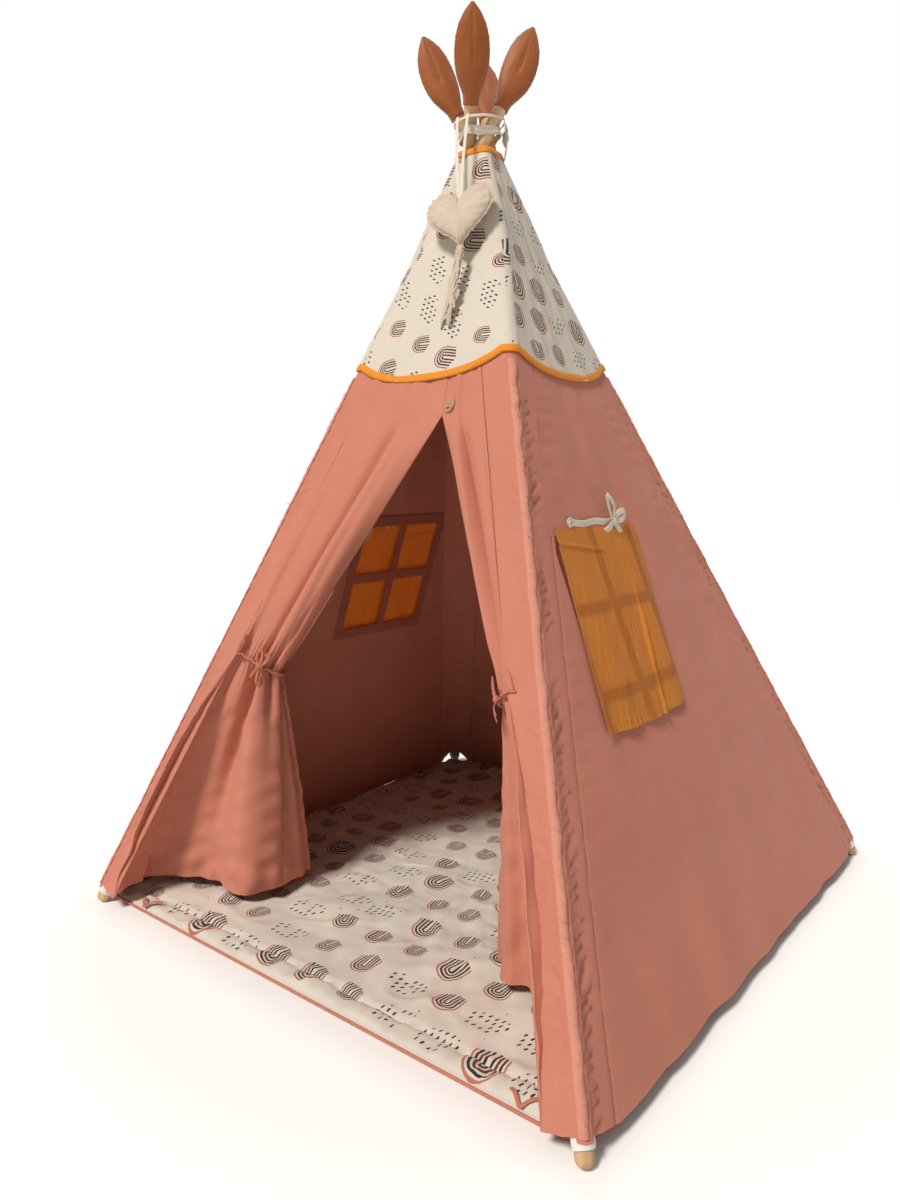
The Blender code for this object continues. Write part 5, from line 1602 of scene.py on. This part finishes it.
# %% Stuff the leaves
# Rows of: how far up the leaf, its half width and its half thickness, as shares.
LEAF = ((0.0, 0.47, 1.0), (0.10, 0.52, 1.0), (0.20, 0.72, 0.98), (0.30, 0.88, 0.95), (0.42, 0.98, 0.84))
LEAF += ((0.55, 1.0, 0.72), (0.68, 0.93, 0.60), (0.80, 0.75, 0.46), (0.91, 0.43, 0.28), (1.0, 0.04, 0.05))
LEAF = np.array(LEAF)
leaf_base, leaf_length, leaf_half_width, leaf_bend, pocket = 0.0745, 0.153, 0.030, 0.022, 0.0145
for number, corner in enumerate(CORNERS):
    origin, up, ahead, hinge_way = pole_frame(corner)
    # Seen from above, all four leaves are wide along one diagonal and face the camera.
    wide_way, deep_way = (ahead, hinge_way) if number % 2 == 0 else (hinge_way, -ahead)
    t = np.linspace(0, 1, 60)
    wide = np.interp(t, LEAF[:, 0], LEAF[:, 1]) * leaf_half_width
    deep = np.interp(t, LEAF[:, 0], LEAF[:, 2]) * pocket
    wide = np.where(t < 0.28, np.maximum(wide, pocket * 1.01), wide)
    angle = np.linspace(0, 2 * math.pi, 48, endpoint=False)
    pinch = smooth((t - 0.10) / 0.3)[:, None]
    soft = smooth((t - 0.36) / 0.14)[:, None]
    lens = np.sign(np.sin(angle)) * np.abs(np.sin(angle)) ** (1 + 0.5 * soft)
    edge = np.abs(np.cos(angle)) ** 14 * (0.0016 + 0.0002 * np.sin(t[:, None] * 95)) * pinch
    vein = 1 - 0.30 * bell(np.cos(angle), 0.10) * soft
    crumple = 1.02 + 0.06 * np.sin(9 * t[:, None] + 3 * np.cos(angle) * 2 + number) * soft
    x = (wide[:, None] + edge) * np.cos(angle)
    y = deep[:, None] * lens * vein * crumple
    bend = leaf_bend * np.maximum(0, t - 0.3) ** 1.6
    centre = origin + up * (leaf_base + t * leaf_length)[:, None] + ahead * bend[:, None]
    points = centre[:, None] + wide_way * x[..., None] + deep_way * y[..., None]
    leaf = strips_piece(f"leaf_{corner}", [points], leaf_cloth)
    ride_on(leaf, f"topper_{corner}", "leaf_cotton", f"leaf_topper_{corner}")
    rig.squash(leaf, FOLD, tuple(wide_way), tuple(centre[20]), keep=0.6)
    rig.padded(leaf, 0.7)
print("leaves on")

# %% [markdown]
# ## The heart pendant
#
# The heart is two raw linen shapes sewn together a few millimetres inside their edge and stuffed. So
# it has a soft belly, a sewn line, creases that run in from that line, and a frayed rim outside it.
# Two tapes hold it, and a bundle of torn linen strips hangs from its point.

# %% Stuff the heart
heart_width, heart_height, heart_thickness = 0.128, 0.124, 0.030
cap_outside = cap_inside + cloth
yaw, heart_tilt = math.radians(14), math.radians(9)
lift = heart_thickness / 2 + heart_width / 2 * math.sin(yaw) + touch_gap
heart_centre = on_side("front", 0.024, cap_outside + lift, crossing_height - 0.151)
pose = Matrix.Translation(Vector(heart_centre)) @ Matrix.Rotation(yaw, 4, "Z")
pose = pose @ Matrix.Rotation(-lean, 4, "X") @ Matrix.Rotation(-heart_tilt, 4, "Y")
pose = np.array(pose)


def posed(points):
    return points @ pose[:3, :3].T + pose[:3, 3]


a = np.linspace(0, 2 * math.pi, 160, endpoint=False)
curve_up = (13 * np.cos(a) - 5 * np.cos(2 * a) - 2 * np.cos(3 * a)) / 29
outline = np.stack((16 * np.sin(a) ** 3 / 32, curve_up), -1)
outline[:, 1] -= (np.cos(4 * a) - 2.5) / 29
outline *= (heart_width, heart_height)
sewn_line = outline * 0.93
rings, chance = [], np.random.default_rng(500)
fray = 1 + 0.030 * np.sin(41 * a) + 0.022 * np.sin(67 * a + 1) + chance.uniform(-0.02, 0.02, len(a))
for level in np.linspace(-1, 1, 41):
    spread = (1 - min(abs(level), 0.999) ** 2.4) ** 0.55
    depth = -level * heart_thickness / 2
    ring = sewn_line * spread
    crease = 0.0011 * np.sin(23 * a + 2 * np.sin(3 * a)) * bell(spread - 0.86, 0.14)
    belly = 0.0009 * np.sin(ring[:, 0] * 420 + 3 * np.sin(ring[:, 1] * 60))
    y = depth * (1 + 0.05 * np.sin(5 * a)) + (crease + belly * (1 - abs(level))) * np.sign(depth)
    rings.append(np.stack((ring[:, 0], y, ring[:, 1]), axis=-1))
heart = strips_piece("linen_heart", [posed(np.array(rings))], linen)
rim = []
for grow, depth in ((0.90, 0.0), (0.94, 0.0004), (0.975, -0.0006), (1.0, 0.0009)):
    ring = outline * grow * (fray[:, None] if grow > 0.98 else 1)
    ripple = depth + 0.0013 * np.sin(33 * a) * max(0, grow - 0.92) * 12
    rim.append(np.stack((ring[:, 0], ripple * np.ones_like(a), ring[:, 1]), axis=-1))
rim = cloth_piece("heart_frayed_rim", posed(np.array(rim)), linen, thickness=0.0012, wrap=True)
ride_on(heart, "pendant", "natural_linen", "heart_pillow")
ride_on(rim, "pendant", "natural_linen")
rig.padded(heart, 0.75)

# %% Tapes and tassel
pendant_pin = np.array(joints["pendant_swing"]["pos_m"])
cleft = posed(up_way * heart_height * 0.272) + up_way * 0.004
shapes = []
for sign, bow_out in ((-1, 0.0), (1, 0.002)):
    top = pendant_pin + np.array([sign * 0.012, -0.0012, 0.001])
    middle = (top + cleft) / 2 + np.array([sign * 0.0025, -0.002 - bow_out, 0])
    bottom = cleft + np.array([sign * 0.0025, -0.0008 - bow_out / 2, -0.004])
    shapes.append(strip([top, middle, bottom], 0.0066, 0.0012, (0, -1, 0), 26, 0.95))
tapes = strips_piece("heart_hanging_tapes", shapes, twill_tape)

tip = posed(-up_way * heart_height / 2) + up_way * 0.006
tassel_length, tassel_half_width = 0.128, 0.0080
low_end = heart_centre[2] - heart_height / 2 - tassel_length
low = on_side("front", 0.028, cap_outside + 0.0062, low_end)
chance = np.random.default_rng(510)
shapes = []
for k in range(11):
    offset = (k - 5) / 5 * tassel_half_width
    reach_down = chance.uniform(0.62, 1.0) if k else 1.0
    end = tip + (low - tip) * reach_down
    knots = []
    for i in range(9):
        g = i / 8
        sway = np.array([offset * (0.25 + g) + chance.uniform(-1, 1) * 0.0042 * g**0.4, 0, 0])
        sway[1] = chance.uniform(-0.0022, 0.0018) * min(1, g * 3)
        knots.append(tip + (end - tip) * g + sway)
    width = chance.uniform(0.006, 0.0105)
    shapes.append(strip(knots, width, 0.0014, (chance.uniform(-0.6, 0.6), -1, 0.2), 46, 0.4, 0.45, 520 + k))
tassel = strips_piece("torn_linen_tassel", shapes, linen)
ride_on(tapes, "pendant", "natural_linen", "heart_tapes")
ride_on(tassel, "pendant", "natural_linen", "heart_tassel")
print("pendant hung")

# %% [markdown]
# ## The mat
#
# The mat is a thin pad covered with the printed cotton, with a terracotta piping round its edge and
# one sewn channel a little inside it. It was folded for packing, so soft fold lines cross it, and the
# padding wrinkles near its edge. Two short loose ties are sewn to its edge near each corner.

# %% Lay the mat
mat_half, mat_corner, mat_thick = base_half - 0.028, 0.030, 0.016
sewn_in, wall_gap, pole_corner = 0.040, 0.031, 0.085
rounded_edge = (0.0, 0.0015, 0.004, 0.008)
MAT_FOLDS = (-0.17, 0.175)


def mat_share(x, y):
    """The mat's corners follow the poles when they fold, and its two middle lines stay."""
    return np.clip(np.abs(x) * np.abs(y) / (mat_half - 0.03) ** 2, 0, 1) ** 0.7


def mat_height(x, y, to_edge):
    """The mat's upper side: a round edge, a sewn channel, padding, gathers and old folds."""
    top = mat_thick * (1 - np.exp(-to_edge / 0.0045)) * 0.82
    channel = -0.0052 * bell(to_edge - sewn_in, 0.0042)
    padding = 0.0028 * soft_waves(x, y, 0.11, 600) + 0.0012 * soft_waves(x, y, 0.045, 601)
    tangent = np.where(np.abs(x) > np.abs(y), y, x)
    gathers = 0.0034 * cycle(tangent / 0.034 + 0.4 * soft_waves(x, y, 0.14, 603))
    gathers = gathers * bell(to_edge - sewn_in * 0.5, 0.018)
    wrinkled = soft_waves(x, y, 0.21, 610) + 0.4 * soft_waves(x, y, 0.08, 611)
    folds = 0.0034 * bell(wrinkled, 0.16)
    for at in MAT_FOLDS:
        folds = folds - 0.0017 * bell(x - at, 0.006) - 0.0017 * bell(y - at, 0.006)
    return top + (channel + padding + gathers + folds) * smooth(to_edge / 0.012)


def mat_edge(angle_share, rounding):
    """The mat's outline in one quarter, from the middle of one edge to that of the next."""
    straight = mat_half - rounding
    length = straight + math.pi / 2 * rounding + straight
    d = angle_share * length
    if d < straight:
        return (mat_half, d)
    if d > length - straight:
        return (length - d, mat_half)
    turn = (d - straight) / rounding
    return (straight + rounding * math.cos(turn), straight + rounding * math.sin(turn))


for number, (corner, (sx, sy)) in enumerate(CORNERS.items()):
    first_quarter = number == 0
    edge_steps = np.linspace(0, 1, 90)
    rounding = pole_corner if corner == "back_left" else mat_corner
    edge = np.array([mat_edge(t, rounding) for t in edge_steps])
    # At the back and on the left it reaches the walls, and there its corner clears the pole.
    stretch = (sx * (1 + wall_gap / mat_half * (sx < 0)), sy * (1 + wall_gap / mat_half * (sy > 0)))
    points, metres = [], []
    for inwards in (*rounded_edge, *np.linspace(0.013, mat_half * 0.999, 74)):
        scale = (mat_half - inwards) / mat_half
        x, y = (edge * scale * (sx, sy)).T
        to_edge = np.minimum(mat_half - np.abs(x), mat_half - np.abs(y))
        height = np.maximum(mat_height(x, y, to_edge), 0.0035)
        points.append(np.stack((*(edge[:, i] * scale * stretch[i] for i in (0, 1)), height), axis=-1))
        metres.append(np.stack((x, y), axis=-1))
    under = points[0] * (1, 1, 0) + up_way * 0.0012
    grid = np.array([under * (0.001, 0.001, 1), under, *points])
    metres = np.array([metres[0] * 0, metres[0], *metres])
    if sx * sy < 0:
        grid, metres = grid[:, ::-1], metres[:, ::-1]
    pad = cloth_piece(f"mat_{corner}", grid, mat_print, metres=metres, thickness=0)
    mend(pad, close=True)
    pad.data.set_sharp_from_angle(angle=sharp_edge)
    weights = mat_share(grid[..., 0], grid[..., 1])
    hang_on(pad, corner, weights, "printed_mat", *(["mat"] if first_quarter else []))
    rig.padded(pad, fill=0.3)

    path = edge * stretch * (1 + 0.0022 / mat_half)
    knots = np.stack((path[:, 0], path[:, 1], np.full(len(path), 0.0040)), axis=-1)
    piping = strips_piece(f"piping_{corner}", [strip(knots, 0.0044, 0.0044, up_way, 150, 1.0)], lining)
    root = np.array([sx * (mat_half - 0.085), sy * (mat_half + 0.001), 0.0145])
    ends = []
    for lean_x, length in ((-0.5, 0.030), (0.35, 0.036)):
        way = unit(np.array([lean_x, -0.35 * sy, 0.02]))
        knots = [root - up_way * 0.003, root + way * length * 0.5 + up_way * 0.005]
        ends.append(strip([*knots, root + way * length + up_way * 0.0012], 0.0065, 0.0022, up_way, 14, 0.9))
    stubs = strips_piece(f"mat_ties_{corner}", ends, lining)
    for piece, solids in ((piping, ["mat_piping"] * first_quarter), (stubs, [f"mat_tie_{corner}"])):
        spots = spots_of(piece)
        hang_on(piece, corner, mat_share(spots[:, 0], spots[:, 1]), "terracotta_cotton", *solids)
    print(pad.name, grid.shape[:2], "grid")

low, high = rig.bounds()
with open("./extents.json", "w") as size_file:
    json.dump({"cad": [list(cad_low), list(cad_high)], "visual": [list(low), list(high)]}, size_file)
